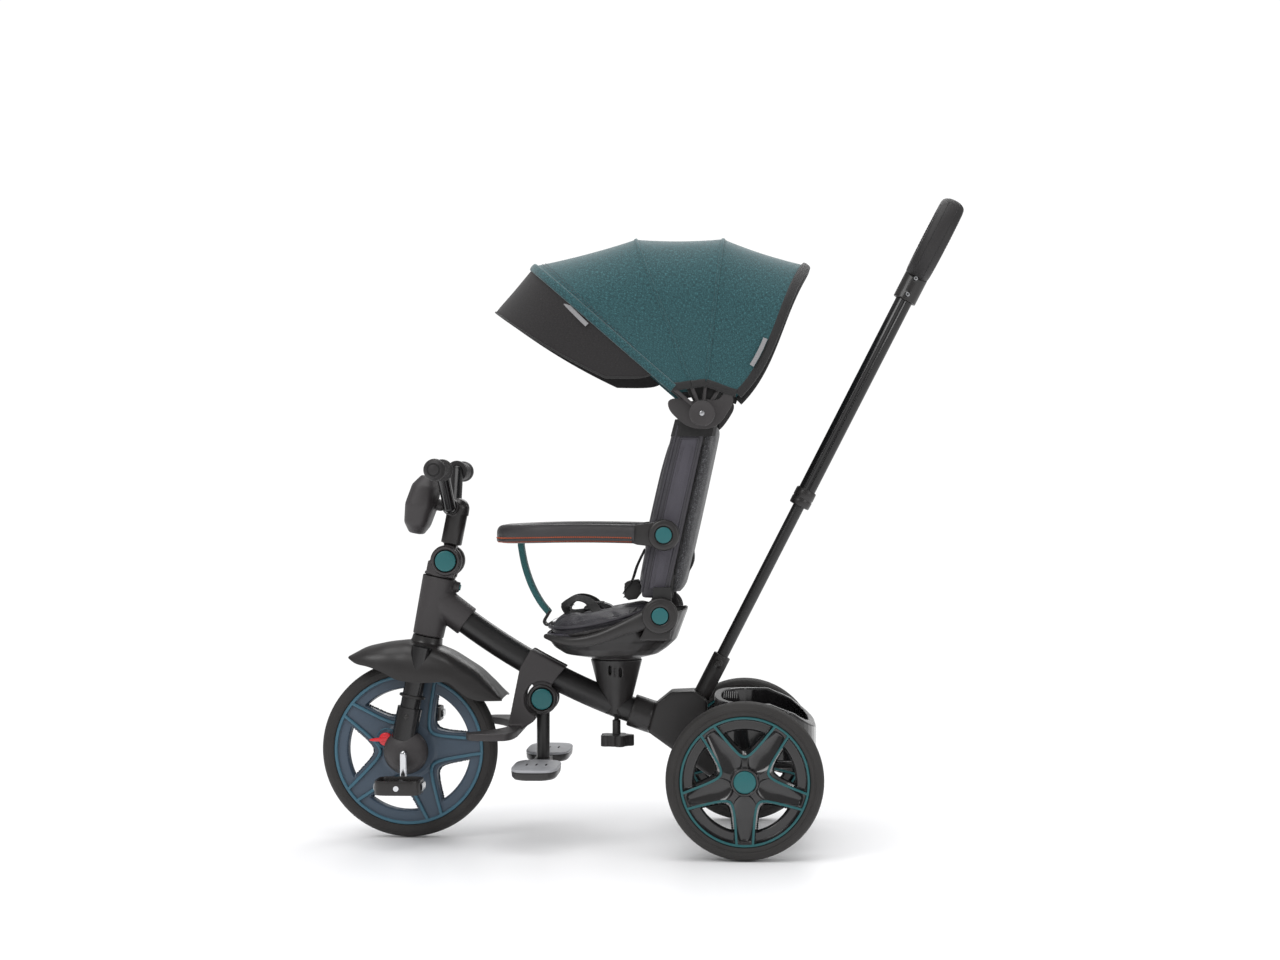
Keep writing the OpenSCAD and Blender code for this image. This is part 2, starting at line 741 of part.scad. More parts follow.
module seat_cushion() {
    color("#3a383a") loft([
        ring(seat_x0 + 16, seat_x1 - 62, seat_half - 24, seat_z + 23, 2.8),
        ring(seat_x0 + 7, seat_x1 - 40, seat_half - 12, seat_z + 42, 3, 0.1),
        ring(seat_x0 + 3, seat_x1 - 42, seat_half - 12, seat_z + 52, 3, 0.12),
        ring(seat_x0 + 14, seat_x1 - 54, seat_half - 22, seat_z + 66, 3, 0.12)]);
}

module lap_harness() {
    z = seat_z + 84;
    color("#1c1c1e") {
        translate([seat_x - 46, -24, z]) cube([34, 48, 9]);
        both_sides() translate([seat_x - 40, 24.2, z + 1]) cube([24, 62, 3]);
        translate([seat_x - 74, -12, z + 1]) cube([27.8, 24, 3]);
    }
}

module recline_brackets() {
    color("#2b2928") both_sides() difference() {
        union() {
            y_slab(recline_y - 6, recline_y + 12) translate(recline) circle(r = hinge_r);
            y_slab(recline_y - 6, recline_y + 6) polygon([recline + [-20, -10], recline + [20, -10],
                recline + [16, -40], recline + [-34, -40]]);
            translate([recline[0] - 34, seat_half - 26, seat_z + 37]) cube([46, recline_y - seat_half + 30, 6]);
            y_bar(recline, back_y + 1.2, recline_y, pin_d);
        }
        y_bar(recline, recline_y + 4, recline_y + 13, 2 * (14 + button_gap));
    }
}

module recline_button() {
    color("#28726f") both_sides() y_bar(recline, recline_y + 4.2, recline_y + 15, 28);
}

// Points along the soft back's front and rear faces, by the height above the recline hinge.
function back_front(h) = recline[0] - 40 + 66 * pow(h / back_h, 1.25) * back_h / 317;
function back_rear(h) = recline[0] + 22 + 73 * pow(h / back_h, 0.9) * back_h / 317;
back_rows = [52, 110, 170, 230, 285, back_h];
function back_ring(h, f0, f1, inset) = let (a = back_front(h), b = back_rear(h))
    ring(a + (b - a) * f0, a + (b - a) * f1, back_y - inset, recline[1] + h, 4.5);

module back_shell() {
    color("#2a2928") loft([for (h = back_rows) back_ring(h, 0.70, 0.86, 6)]);
}

module back_pad() {
    color("#47464a") loft([for (h = back_rows) back_ring(h, 0, 0.69, h > back_h - 2 ? 12 : 0.6)]);
}

module back_cover() {
    color("#615b57") loft([for (h = back_rows) back_ring(h, 0.87, 1, h > back_h - 2 ? 12 : 1)]);
}

module shoulder_harness() {
    color("#1c1c1e") both_sides() {
        for (k = [1:3]) {
            h0 = back_rows[k];
            h1 = back_rows[k + 1];
            y_slab(34, 62) polygon([[back_front(h0) - 6, recline[1] + h0], [back_front(h0) - 1, recline[1] + h0],
                [back_front(h1) - 1, recline[1] + h1], [back_front(h1) - 6, recline[1] + h1]]);
        }
    }
}

module back_frame() {
    y0 = back_y + 0.6;
    y1 = y0 + plate_t;
    color("#232323") both_sides() difference() {
        union() {
            y_slab(y0, y1) polygon([recline + [-12, 28], recline + [20, 28], guard + [18, 0],
                canopy + [14, 0], canopy + [-14, 0], guard + [-16, 0]]);
            y_slab(recline_y - 12, recline_y - 6.4) union() {
                translate(recline) circle(r = 19);
                translate(recline + [-12, 0]) square([30, 46]);
            }
            y_slab(y0, recline_y - 6.4) translate(recline + [-12, 28]) square([30, 18]);
            y_slab(y0, y1) translate(guard) circle(r = 18);
            y_slab(y0, y1) translate(canopy) circle(r = 16);
            y_bar(guard, y1 - 1, guard_y + 8, 10);
            y_bar(canopy, y1 - 1, hoop_y(3) + 7, canopy_pin_d);
        }
        y_bar(recline, y0 - 1, recline_y, pin_d + 2 * run_gap);
    }
    color("#232323") for (h = [62, back_h - 32]) {
        x = back_front(h) * 0.22 + back_rear(h) * 0.78;
        y_bar([x, recline[1] + h], -y0 - 1, y0 + 1, 8);
    }
}

// The safety bar's path: two arms joined across the front by round bends.
module guard_path(d, x_from, with_front = true) {
    z = guard[1];
    bend_x = guard_front + guard_bend;
    both_sides() {
        translate([bend_x, guard_y, z]) rotate([0, 90, 0]) cylinder(h = x_from - bend_x, d = d);
        translate([bend_x, guard_y - guard_bend, z]) rotate([0, 0, 90])
            rotate_extrude(angle = 90) translate([guard_bend, 0]) circle(d = d);
    }
    y_bar([guard_front, z], -guard_y + guard_bend, guard_y - guard_bend, d);
}

module guard_bar() {
    color("#262526") difference() {
        union() {
            guard_path(guard_d, guard[0] - 12);
            both_sides() y_bar(guard, guard_y - 10, guard_y + 10, 36);
        }
        y_bar(guard, -300, 300, 10 + 2 * run_gap);
        both_sides() y_bar(guard, guard_y + 5, guard_y + 11, 2 * (14.5 + button_gap));
    }
}

module guard_cover() {
    color("#3a383c") difference() {
        guard_path(guard_cover_d, guard[0] - 40);
        guard_path(guard_d + 0.1, guard[0] - 30);
    }
}

module guard_button() {
    color("#28726f") both_sides() y_bar(guard, guard_y + 8.4, guard_y + 14, 29);
}

strap_top = [guard_front + 14, guard[1] - guard_cover_d / 2 - 1];
strap_foot = [seat_x0 + 1, seat_z + 66];

module crotch_strap() {
    bow = [strap_top[0] + 14, (strap_top[1] + strap_foot[1]) / 2 - 12];
    color("#46706f") y_slab(-14, 14) polygon([strap_top, strap_top + [8, 0], bow + [8, 0],
        strap_foot + [-1, 4], strap_foot + [-9, 4], bow]);
}

// ---- Canopy

// Hoops are numbered from 0 at the rear to 3 at the front; their side planes step outward.
function hoop_y(i) = canopy_w / 2 - hoop_pitch * (3 - i);
function reach(i) = i == 3 ? front_hoop_r : i == 2 ? hoop_r + 11 : i == 1 ? hoop_r - 7 : hoop_r - 1;
function hoop_angle(i) = hoop_a + hoop_step * i;

module in_hoop(i) {
    translate([canopy[0], 0, canopy[1]]) rotate([0, -hoop_angle(i), 0]) children();
}

// A round-cornered arch that lies along local +X, from one pivot eyelet to the other.
module hoop(i) {
    y = hoop_y(i);
    r = reach(i);
    in_hoop(i) difference() {
        union() {
            both_sides() {
                translate([0, y, 0]) rotate([0, 90, 0]) cylinder(h = r - hoop_bend, d = hoop_d - 0.8);
                translate([r - hoop_bend, y - hoop_bend, 0])
                    rotate_extrude(angle = 90) translate([hoop_bend, 0]) circle(d = hoop_d - 0.8);
                y_bar([0, 0], y - hoop_d / 2 + 0.1, y + hoop_d / 2 - 0.1, 20);
            }
            children();
            y_bar([r, 0], -y + hoop_bend, y - hoop_bend, hoop_d - 0.8);
        }
        y_bar([0, 0], -300, 300, canopy_pin_d + 2 * run_gap);
    }
}

module canopy_brackets() {
    y0 = back_y + plate_t + 1.4;
    color("#3d3c3d") hoop(0) both_sides() y_bar([0, 0], y0, hoop_y(0) - 1, 2 * canopy_disc_r);
}

module hoop_3() {
    color("#3d3c3d") hoop(1);
}

module hoop_2() {
    color("#3d3c3d") hoop(2);
}

module front_hoop() {
    color("#3d3c3d") hoop(3);
}

// Points of an arch, as [reach, side], from the near leg over the top to the far leg.
leg_from = 60;
function arch(y, r) = concat(
    [for (k = [0:2]) [leg_from + (r - hoop_bend - leg_from) * k / 3, -y]],
    [for (k = [0:5]) [r - hoop_bend + hoop_bend * sin(18 * k), -y + hoop_bend * (1 - cos(18 * k))]],
    [[r, 0]],
    [for (k = [5:-1:0]) [r - hoop_bend + hoop_bend * sin(18 * k), y - hoop_bend * (1 - cos(18 * k))]],
    [for (k = [2:-1:0]) [leg_from + (r - hoop_bend - leg_from) * k / 3, y]]);

function turned(p, a) = [canopy[0] + p[0] * cos(a), p[1], canopy[1] + p[0] * sin(a)];
function arch_at(y, r, a, twist = 0) = [for (p = arch(y, r)) turned(p, a + twist * (1 - (p[0] - leg_from) / (r - leg_from)))];

// A band of cloth between two arches: its outer skin, then its inner skin.
module band(y0, r0, a0, y1, r1, a1, steps, twist = 0) {
    in = hoop_d / 2 + skin_gap;
    out = in + skin_t;
    outer = [for (k = [0:steps]) let (f = k / steps) arch_at(y0 + (y1 - y0) * f + out,
        r0 + (r1 - r0) * f + out, a0 + (a1 - a0) * f, twist * f)];
    inner = [for (k = [steps:-1:0]) let (f = k / steps) arch_at(y0 + (y1 - y0) * f + in,
        r0 + (r1 - r0) * f + in, a0 + (a1 - a0) * f, twist * f)];
    rows = concat(outer, inner);
    n = len(rows[0]);
    m = len(rows);
    sides = [for (j = [0:m - 1], i = [0:n - 2]) let (k = (j + 1) % m) each [
        [j * n + i, j * n + i + 1, k * n + i + 1], [j * n + i, k * n + i + 1, k * n + i]]];
    ends = [for (j = [0:steps - 1]) each [
        [j * n, (j + 1) * n, (m - 2 - j) * n], [j * n, (m - 2 - j) * n, (m - 1 - j) * n],
        [(j + 1) * n - 1, (m - 1 - j) * n + n - 1, (m - 2 - j) * n + n - 1],
        [(j + 1) * n - 1, (m - 2 - j) * n + n - 1, (j + 2) * n - 1]]];
    polyhedron([for (r = rows) each r], [for (f = concat(sides, ends)) [f[0], f[2], f[1]]]);
}

module canopy_panels() {
    trim = 0.4;
    color("#36595b") for (i = [0:2])
        band(hoop_y(i), reach(i), hoop_angle(i) + (i == 0 ? -0.8 : trim), hoop_y(i + 1), reach(i + 1),
            hoop_angle(i + 1), 3);
}

module canopy_visor() {
    color("#252324") band(hoop_y(3), front_hoop_r, hoop_angle(3) + 2.2, hoop_y(3) - 4, front_hoop_r + 12,
        hoop_angle(3) + 15, 2, 9);
}

// ---- Push bar

module push_upper_tube() {
    color("#262526") in_push_bar() difference() {
        union() {
            translate([0, 0, collar_s]) cylinder(h = push_upper_l + 40, d = push_outer_d);
            translate([0, 0, collar_s]) cylinder(h = 30, d = push_outer_d + 6);
        }
        translate([0, 0, collar_s - 1]) cylinder(h = push_upper_l, r = push_inner_d / 2 + run_gap);
    }
}

module push_clamp() {
    color("#2b2a2b") in_push_bar() difference() {
        union() {
            translate([0, 0, clamp_s - 4]) cylinder(h = 54, d = push_outer_d + 10);
            for (k = [0, 1]) translate([0, 0, clamp_s + 6 + 30 * k]) rotate([90, 0, 0])
                cylinder(h = push_outer_d + 18, d = 9, center = true);
        }
        translate([0, 0, collar_s]) cylinder(h = push_upper_l + 40, d = push_outer_d + 0.1);
        in_push_bar_loop(0.2);
    }
}

// The handle loop's section is deeper along the trike than across it.
module in_push_bar_loop(extra) {
    translate([0, 0, loop_s]) rotate([0, 90, 0]) rotate_extrude($fn = 72)
        polygon([for (k = [0:23]) let (a = 15 * k) [loop_r + (13 + extra) * cos(a), (21 + extra) * sin(a)]]);
}

module handle_loop() {
    color("#262425") in_push_bar() difference() {
        in_push_bar_loop(0);
        translate([0, 0, collar_s]) cylinder(h = push_upper_l + 40, d = push_outer_d + 0.1);
    }
}

main_tube();
head_casing();
head_button();
rear_casing();
rear_axle();
rear_tray();
push_socket();
push_lower_tube();
peg_bracket();
seat_pedestal();
footrest();
seat_knob();
steering_column();
fork_legs();
hub_covers();
fender();
clutch_lever();
front_tyre();
front_rim();
crank_axle();
pedal_left();
pedal_right();
stem();
handlebar();
grips();
sound_pod();
fold_button();
rear_tyre_left();
rear_rim_left();
rear_cap_left();
rear_tyre_right();
rear_rim_right();
rear_cap_right();
peg_bar();
peg_pads();
peg_button();
seat_turntable();
seat_shell();
recline_brackets();
seat_cushion();
lap_harness();
recline_button();
back_frame();
back_shell();
back_pad();
back_cover();
shoulder_harness();
guard_bar();
guard_cover();
guard_button();
crotch_strap();
canopy_brackets();
hoop_3();
hoop_2();
front_hoop();
canopy_panels();
canopy_visor();
push_upper_tube();
push_clamp();
handle_loop();
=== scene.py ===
import bmesh
import bpy
import json
import math
import numpy as np
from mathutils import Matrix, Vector


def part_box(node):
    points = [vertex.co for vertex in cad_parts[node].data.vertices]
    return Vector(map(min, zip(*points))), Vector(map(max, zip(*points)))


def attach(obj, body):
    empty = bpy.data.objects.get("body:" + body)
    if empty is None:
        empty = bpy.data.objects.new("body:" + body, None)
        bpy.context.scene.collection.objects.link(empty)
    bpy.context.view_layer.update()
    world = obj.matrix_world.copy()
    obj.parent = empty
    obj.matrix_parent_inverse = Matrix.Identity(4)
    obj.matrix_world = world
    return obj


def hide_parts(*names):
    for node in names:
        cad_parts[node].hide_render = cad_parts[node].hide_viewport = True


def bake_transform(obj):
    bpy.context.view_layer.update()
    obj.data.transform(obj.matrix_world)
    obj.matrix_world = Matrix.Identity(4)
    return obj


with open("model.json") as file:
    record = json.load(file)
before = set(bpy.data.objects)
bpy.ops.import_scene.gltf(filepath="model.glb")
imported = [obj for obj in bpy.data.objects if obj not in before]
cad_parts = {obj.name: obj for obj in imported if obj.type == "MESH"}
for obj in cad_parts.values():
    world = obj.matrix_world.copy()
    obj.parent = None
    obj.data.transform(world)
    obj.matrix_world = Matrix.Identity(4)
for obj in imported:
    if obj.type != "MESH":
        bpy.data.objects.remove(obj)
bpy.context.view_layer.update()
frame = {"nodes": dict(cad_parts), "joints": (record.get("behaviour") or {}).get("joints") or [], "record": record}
cadNodes = frame["nodes"]
bodyOf = {n: b for b, ns in frame["record"]["behaviour"]["bodies"].items() for n in ns}
slotOf = {p["node"]: p["material_slot"] for p in frame["record"]["subparts"]}
jointAt = {j["name"]: np.array(j["pos_m"]) for j in frame["joints"] if "pos_m" in j}
mm = 0.001
print("frame loaded:", len(cadNodes), "nodes")

# camera: low, level side view from the near side
cameraPlan = dict(at=(0.178, -3.77, 0.595), aim=(0.0, 0.0, 0.6086), lens=62.35)
camera = bpy.data.objects.new("camera", bpy.data.cameras.new("camera"))
bpy.context.scene.collection.objects.link(camera)
camera.data.lens = cameraPlan["lens"]
camera.location = cameraPlan["at"]
camera.rotation_euler = (Vector(cameraPlan["aim"]) - Vector(cameraPlan["at"])).to_track_quat("-Z", "Y").to_euler()
bpy.context.scene.camera = camera


# ---- finishes

def hexLinear(code):
    parts = [int(code[i:i + 2], 16) / 255 for i in (1, 3, 5)]
    return tuple(p / 12.92 if p <= 0.04045 else ((p + 0.055) / 1.055) ** 2.4 for p in parts) + (1.0,)


def addNode(tree, kind, settings=None, inputs=None):
    node = tree.nodes.new(kind)
    for key, value in (settings or {}).items():
        setattr(node, key, value)
    for key, value in (inputs or {}).items():
        if isinstance(value, bpy.types.NodeSocket):
            tree.links.new(value, node.inputs[key])
        else:
            node.inputs[key].default_value = value
    return node


def startFinish(name):
    material = bpy.data.materials.new(name)
    material.use_nodes = True
    tree = material.node_tree
    tree.nodes.clear()
    shader = addNode(tree, "ShaderNodeBsdfPrincipled")
    addNode(tree, "ShaderNodeOutputMaterial", inputs={"Surface": shader.outputs[0]})
    return material, tree, shader


def mixTone(tree, factor, first, second):
    return addNode(tree, "ShaderNodeMix", {"data_type": "RGBA"}, {0: factor, 6: first, 7: second})


def dress(tree, shader, tone, relief, rough):
    tree.links.new(tone.outputs[2], shader.inputs["Base Color"])
    tree.links.new(relief.outputs[0], shader.inputs["Normal"])
    shader.inputs["Roughness"].default_value = rough


def mouldedPlastic(name, dark, light, rough, grain, depth, coat=0.0, spread=0.08):
    # injection moulded: faint cloudy tone, grain from the tool's spark-eroded face
    material, tree, shader = startFinish(name)
    place = addNode(tree, "ShaderNodeTexCoord").outputs["Object"]
    cloud = addNode(tree, "ShaderNodeTexNoise", inputs={"Vector": place, "Scale": 22.0, "Detail": 4.0})
    pits = addNode(tree, "ShaderNodeTexNoise", inputs={"Vector": place, "Scale": 1 / (grain * mm), "Detail": 2.0})
    tone = mixTone(tree, cloud.outputs[0], hexLinear(dark), hexLinear(light))
    rub = addNode(tree, "ShaderNodeMapRange", inputs={"Value": cloud.outputs[0], "From Min": 0.3, "From Max": 0.7,
                                                      "To Min": rough - spread, "To Max": rough + spread})
    relief = addNode(tree, "ShaderNodeBump", inputs={"Height": pits.outputs[0], "Strength": 0.2,
        "Distance": depth * mm})
    for socket, source in (("Base Color", tone.outputs[2]), ("Roughness", rub.outputs[0]),
        ("Normal", relief.outputs[0])):
        tree.links.new(source, shader.inputs[socket])
    shader.inputs["Coat Weight"].default_value = coat
    shader.inputs["Coat Roughness"].default_value = 0.12
    return material


def paintedTube(name, dark, light, rough):
    # powder coat on steel tube: orange-peel ripple about 2 mm across under a satin skin
    material, tree, shader = startFinish(name)
    place = addNode(tree, "ShaderNodeTexCoord").outputs["Object"]
    peel = addNode(tree, "ShaderNodeTexNoise", inputs={"Vector": place, "Scale": 1 / (2.0 * mm), "Detail": 1.0})
    cloud = addNode(tree, "ShaderNodeTexNoise", inputs={"Vector": place, "Scale": 9.0, "Detail": 5.0})
    tone = mixTone(tree, cloud.outputs[0], hexLinear(dark), hexLinear(light))
    rub = addNode(tree, "ShaderNodeMapRange", inputs={"Value": cloud.outputs[0], "From Min": 0.3, "From Max": 0.7,
                                                      "To Min": rough - 0.05, "To Max": rough + 0.07})
    relief = addNode(tree, "ShaderNodeBump", inputs={"Height": peel.outputs[0], "Strength": 0.05,
        "Distance": 0.1 * mm})
    for socket, source in (("Base Color", tone.outputs[2]), ("Roughness", rub.outputs[0]),
        ("Normal", relief.outputs[0])):
        tree.links.new(source, shader.inputs[socket])
    return material


def polishedMetal(name, colour, rough):
    # chrome plate or bright steel: mirror with fine wipe marks drawn along the part
    material, tree, shader = startFinish(name)
    place = addNode(tree, "ShaderNodeTexCoord").outputs["Object"]
    marks = addNode(tree, "ShaderNodeTexNoise", inputs={"Vector": place, "Scale": 160.0, "Detail": 6.0})
    rub = addNode(tree, "ShaderNodeMapRange",
        inputs={"Value": marks.outputs[0], "To Min": rough * 0.6, "To Max": rough * 1.6})
    tree.links.new(rub.outputs[0], shader.inputs["Roughness"])
    shader.inputs["Base Color"].default_value = hexLinear(colour)
    shader.inputs["Metallic"].default_value = 1.0
    return material


def grainedLeather(name, dark, light, rough=0.5):
    # polyurethane leather on foam: pebbled cells about 1.3 mm across with fine creases between
    material, tree, shader = startFinish(name)
    place = addNode(tree, "ShaderNodeTexCoord").outputs["Object"]
    cells = addNode(tree, "ShaderNodeTexVoronoi", {"feature": "DISTANCE_TO_EDGE"},
        {"Vector": place, "Scale": 1 / (1.5 * mm)})
    cloud = addNode(tree, "ShaderNodeTexNoise", inputs={"Vector": place, "Scale": 18.0, "Detail": 5.0})
    valley = addNode(tree, "ShaderNodeMapRange", inputs={"Value": cells.outputs[0], "From Max": 0.16})
    tone = mixTone(tree, cloud.outputs[0], hexLinear(dark), hexLinear(light))
    rub = addNode(tree, "ShaderNodeMapRange", inputs={"Value": cloud.outputs[0], "From Min": 0.3, "From Max": 0.7,
                                                      "To Min": rough - 0.07, "To Max": rough + 0.07})
    relief = addNode(tree, "ShaderNodeBump", inputs={"Height": valley.outputs[0], "Strength": 0.45,
        "Distance": 0.25 * mm})
    for socket, source in (("Base Color", tone.outputs[2]), ("Roughness", rub.outputs[0]),
        ("Normal", relief.outputs[0])):
        tree.links.new(source, shader.inputs[socket])
    return material


def wovenCloth(name, dark, middle, light, thread, fleck, uvName=None, sheen=0.25, speckle=0.5):
    # woven cloth: crossing threads, each a little lighter or darker along its run, so it reads as melange
    material, tree, shader = startFinish(name)
    if uvName:
        place = addNode(tree, "ShaderNodeUVMap", {"uv_map": uvName}).outputs[0]
    else:
        place = addNode(tree, "ShaderNodeTexCoord").outputs["Object"]
    warp = addNode(tree, "ShaderNodeMapping",
        inputs={"Vector": place, "Scale": (1 / (thread * mm), 1 / (fleck * mm), 1 / (thread * mm))})
    weft = addNode(tree, "ShaderNodeMapping",
        inputs={"Vector": place, "Scale": (1 / (fleck * mm), 1 / (thread * mm), 1 / (fleck * mm))})
    warpTone = addNode(tree, "ShaderNodeTexNoise", inputs={"Vector": warp.outputs[0], "Scale": 1.0, "Detail": 2.0})
    weftTone = addNode(tree, "ShaderNodeTexNoise", inputs={"Vector": weft.outputs[0], "Scale": 1.0, "Detail": 2.0})
    both = addNode(tree, "ShaderNodeMath", {"operation": "ADD"}, {0: warpTone.outputs[0], 1: weftTone.outputs[0]})
    deep = addNode(tree, "ShaderNodeMapRange", inputs={"Value": both.outputs[0], "From Min": 0.62, "From Max": 1.0})
    high = addNode(tree, "ShaderNodeMapRange",
        inputs={"Value": both.outputs[0], "From Min": 1.0, "From Max": 1.36, "To Max": speckle * 2})
    base = mixTone(tree, deep.outputs[0], hexLinear(dark), hexLinear(middle))
    tone = mixTone(tree, high.outputs[0], base.outputs[2], hexLinear(light))
    relief = addNode(tree, "ShaderNodeBump", inputs={"Height": both.outputs[0], "Strength": 0.5,
        "Distance": 0.4 * mm})
    dress(tree, shader, tone, relief, 0.9)
    shader.inputs["Sheen Weight"].default_value = sheen
    shader.inputs["Sheen Roughness"].default_value = 0.5
    return material


def ribbedWebbing(name, dark, light, rib):
    # polyester webbing: ribs across the tape, soft low gloss; its tone is painted light and shade across the ribs,
    # crests lighter and grooves darker, broken by a fine random fleck
    material, tree, shader = startFinish(name)
    place = addNode(tree, "ShaderNodeUVMap", {"uv_map": "tapeRun"}).outputs[0]
    ribs = addNode(tree, "ShaderNodeTexWave", {"wave_type": "BANDS", "bands_direction": "X"},
                   {"Vector": place, "Scale": 1 / (rib * mm) / 6.2832 * 3.1416, "Distortion": 0.6, "Detail": 1.0})
    ribFleck = addNode(tree, "ShaderNodeTexNoise", inputs={"Vector": place, "Scale": 700.0, "Detail": 3.0})
    ribLightAndShade = addNode(tree, "ShaderNodeMath", {"operation": "MULTIPLY"}, {0: ribs.outputs[1], 1: ribFleck.outputs[0]})
    # painted light and shade: rib crests lighter, grooves darker
    tone = mixTone(tree, ribLightAndShade.outputs[0], hexLinear(dark), hexLinear(light))
    relief = addNode(tree, "ShaderNodeBump", inputs={"Height": ribs.outputs[1], "Strength": 0.5,
        "Distance": 0.4 * mm})
    dress(tree, shader, tone, relief, 0.75)
    shader.inputs["Sheen Weight"].default_value = 0.2
    return material


def foamRubber(name, dark, light, rough, grain):
    # foam tyre and soft grip rubber: dry, close-pored, a dusty tone in patches
    material, tree, shader = startFinish(name)
    place = addNode(tree, "ShaderNodeTexCoord").outputs["Object"]
    pores = addNode(tree, "ShaderNodeTexNoise", inputs={"Vector": place, "Scale": 1 / (grain * mm), "Detail": 3.0})
    dust = addNode(tree, "ShaderNodeTexNoise",
        inputs={"Vector": place, "Scale": 12.0, "Detail": 6.0, "Roughness": 0.6})
    both = addNode(tree, "ShaderNodeMath", {"operation": "MULTIPLY"}, {0: pores.outputs[0], 1: dust.outputs[0]})
    spread = addNode(tree, "ShaderNodeMapRange",
        inputs={"Value": both.outputs[0], "From Min": 0.12, "From Max": 0.4})
    tone = mixTone(tree, spread.outputs[0], hexLinear(dark), hexLinear(light))
    relief = addNode(tree, "ShaderNodeBump", inputs={"Height": pores.outputs[0], "Strength": 0.3,
        "Distance": 0.2 * mm})
    dress(tree, shader, tone, relief, rough)
    return material


satinTube = paintedTube("powderCoatedSteel", "#171616", "#1f1e1f", 0.36)
glossTube = paintedTube("glossEnamelledSteel", "#0f0e0f", "#161516", 0.2)
casingPlastic = mouldedPlastic("sparkGrainPolypropylene", "#2b2829", "#343132", 0.5, 0.6, 0.12)
blackPlastic = mouldedPlastic("satinBlackPolypropylene", "#1d1b1b", "#242222", 0.36, 0.5, 0.06)
glossPlastic = mouldedPlastic("glossyBlackAbs", "#161516", "#1d1c1d", 0.17, 0.8, 0.02, coat=0.4, spread=0.04)
tealPlastic = mouldedPlastic("tealAbs", "#0d5053", "#145c5f", 0.38, 0.5, 0.05)
redPlastic = mouldedPlastic("redAbs", "#b8131f", "#cc1a26", 0.28, 0.6, 0.03, coat=0.3)
rimBlue = mouldedPlastic("slateBluePolypropylene", "#33414f", "#3b4a59", 0.4, 0.5, 0.06)
rimLine = mouldedPlastic("tealBlueAbs", "#2c5263", "#355f70", 0.34, 0.5, 0.04)
rearLine = mouldedPlastic("deepTealAbs", "#0f4a4e", "#155457", 0.34, 0.5, 0.04)
# peg tops: pale grey tone that is a painted reflection of the white room on their grazing faces
pegTopReflectGrey = mouldedPlastic("paleGreySantoprenePaintedReflection", "#85868a", "#9a9b9f", 0.42, 0.7, 0.1)
reflectorGrey = mouldedPlastic("greyPrismReflector", "#8a8d90", "#a6a9ac", 0.25, 1.6, 0.3, coat=0.5)
tyreFoam = foamRubber("blackFoamTyre", "#1e1c1b", "#2a2827", 0.72, 0.9)
gripRubber = foamRubber("softGripRubber", "#1a1819", "#252324", 0.6, 0.8)
chromePlate = polishedMetal("chromePlate", "#d8d9dc", 0.12)
screwSteel = polishedMetal("zincScrewSteel", "#b9babd", 0.28)
darkLeather = grainedLeather("charcoalLeatherette", "#2a282d", "#35333a", 0.45)
sideLeather = grainedLeather("slateLeatherette", "#36343c", "#434049", 0.48)
barLeather = grainedLeather("barLeatherette", "#252325", "#312f31", 0.42)
backMelange = wovenCloth("greyMelangeCloth", "#111112", "#222224", "#6c6c70", 0.9, 2.0, speckle=0.5)
canopyMelange = wovenCloth("tealMelangeCloth", "#08262a", "#123c41", "#3a6c72", 1.0, 5.0, "clothRun", speckle=0.45)
visorCloth = wovenCloth("blackPlainWeave", "#151314", "#1d1b1c", "#2b2829", 0.9, 4.0, "clothRun", sheen=0.1)
bindingTape = ribbedWebbing("blackBindingTape", "#131213", "#201e1f", 1.2)
blackWebbing = ribbedWebbing("blackHarnessWebbing", "#100f10", "#242223", 1.6)
tealWebbing = ribbedWebbing("tealWebbing", "#13494b", "#2a6a6b", 1.6)
orangeThread = mouldedPlastic("orangeThread", "#8a3c1e", "#a44c2a", 0.7, 0.5, 0.1)
darkThread = mouldedPlastic("charcoalThread", "#3c3a3e", "#4a474c", 0.75, 0.5, 0.1)
reflectTape = ribbedWebbing("greyReflectiveTape", "#6f6e70", "#a5a4a6", 2.2)
innerDark = mouldedPlastic("shadowedPolypropylene", "#121112", "#181717", 0.6, 0.8, 0.1)

finishFor = dict(tube=satinTube, plastic=blackPlastic, plastic_grey=casingPlastic, plastic_gloss=glossPlastic,
                 teal=tealPlastic, red=redPlastic, blue_rim=rimBlue, tyre=tyreFoam, chrome=chromePlate,
                 grip=gripRubber, pad_grey=pegTopReflectGrey, leather=darkLeather, melange=backMelange,
                 canopy_cloth=canopyMelange, visor_cloth=visorCloth, webbing=blackWebbing, teal_webbing=tealWebbing)
for name, node in cadNodes.items():
    node.data.materials.clear()
    node.data.materials.append(finishFor[slotOf[name]])
for name in ("fork_legs", "handlebar"):
    cadNodes[name].data.materials[0] = glossTube
print("finishes on the kept parts")


# ---- mesh helpers

def addMesh(name, points, faces, finish, body, slotName, cad=(), uv=None, uvName="clothRun", sharp=40, rounded=0):
    mesh = bpy.data.meshes.new(name)
    mesh.from_pydata([tuple(map(float, p)) for p in points], [], faces)
    if uv is not None:
        layer = mesh.uv_layers.new(name=uvName)
        layer.data.foreach_set("uv", np.asarray(uv, np.float32).ravel())
    return addPiece(name, mesh, finish, body, cad, sharp, rounded)


def thicken(piece, amount, name="thickness", offset=-1):
    wall = piece.modifiers.new(name, "SOLIDIFY")
    wall.thickness = amount * mm
    wall.offset = offset


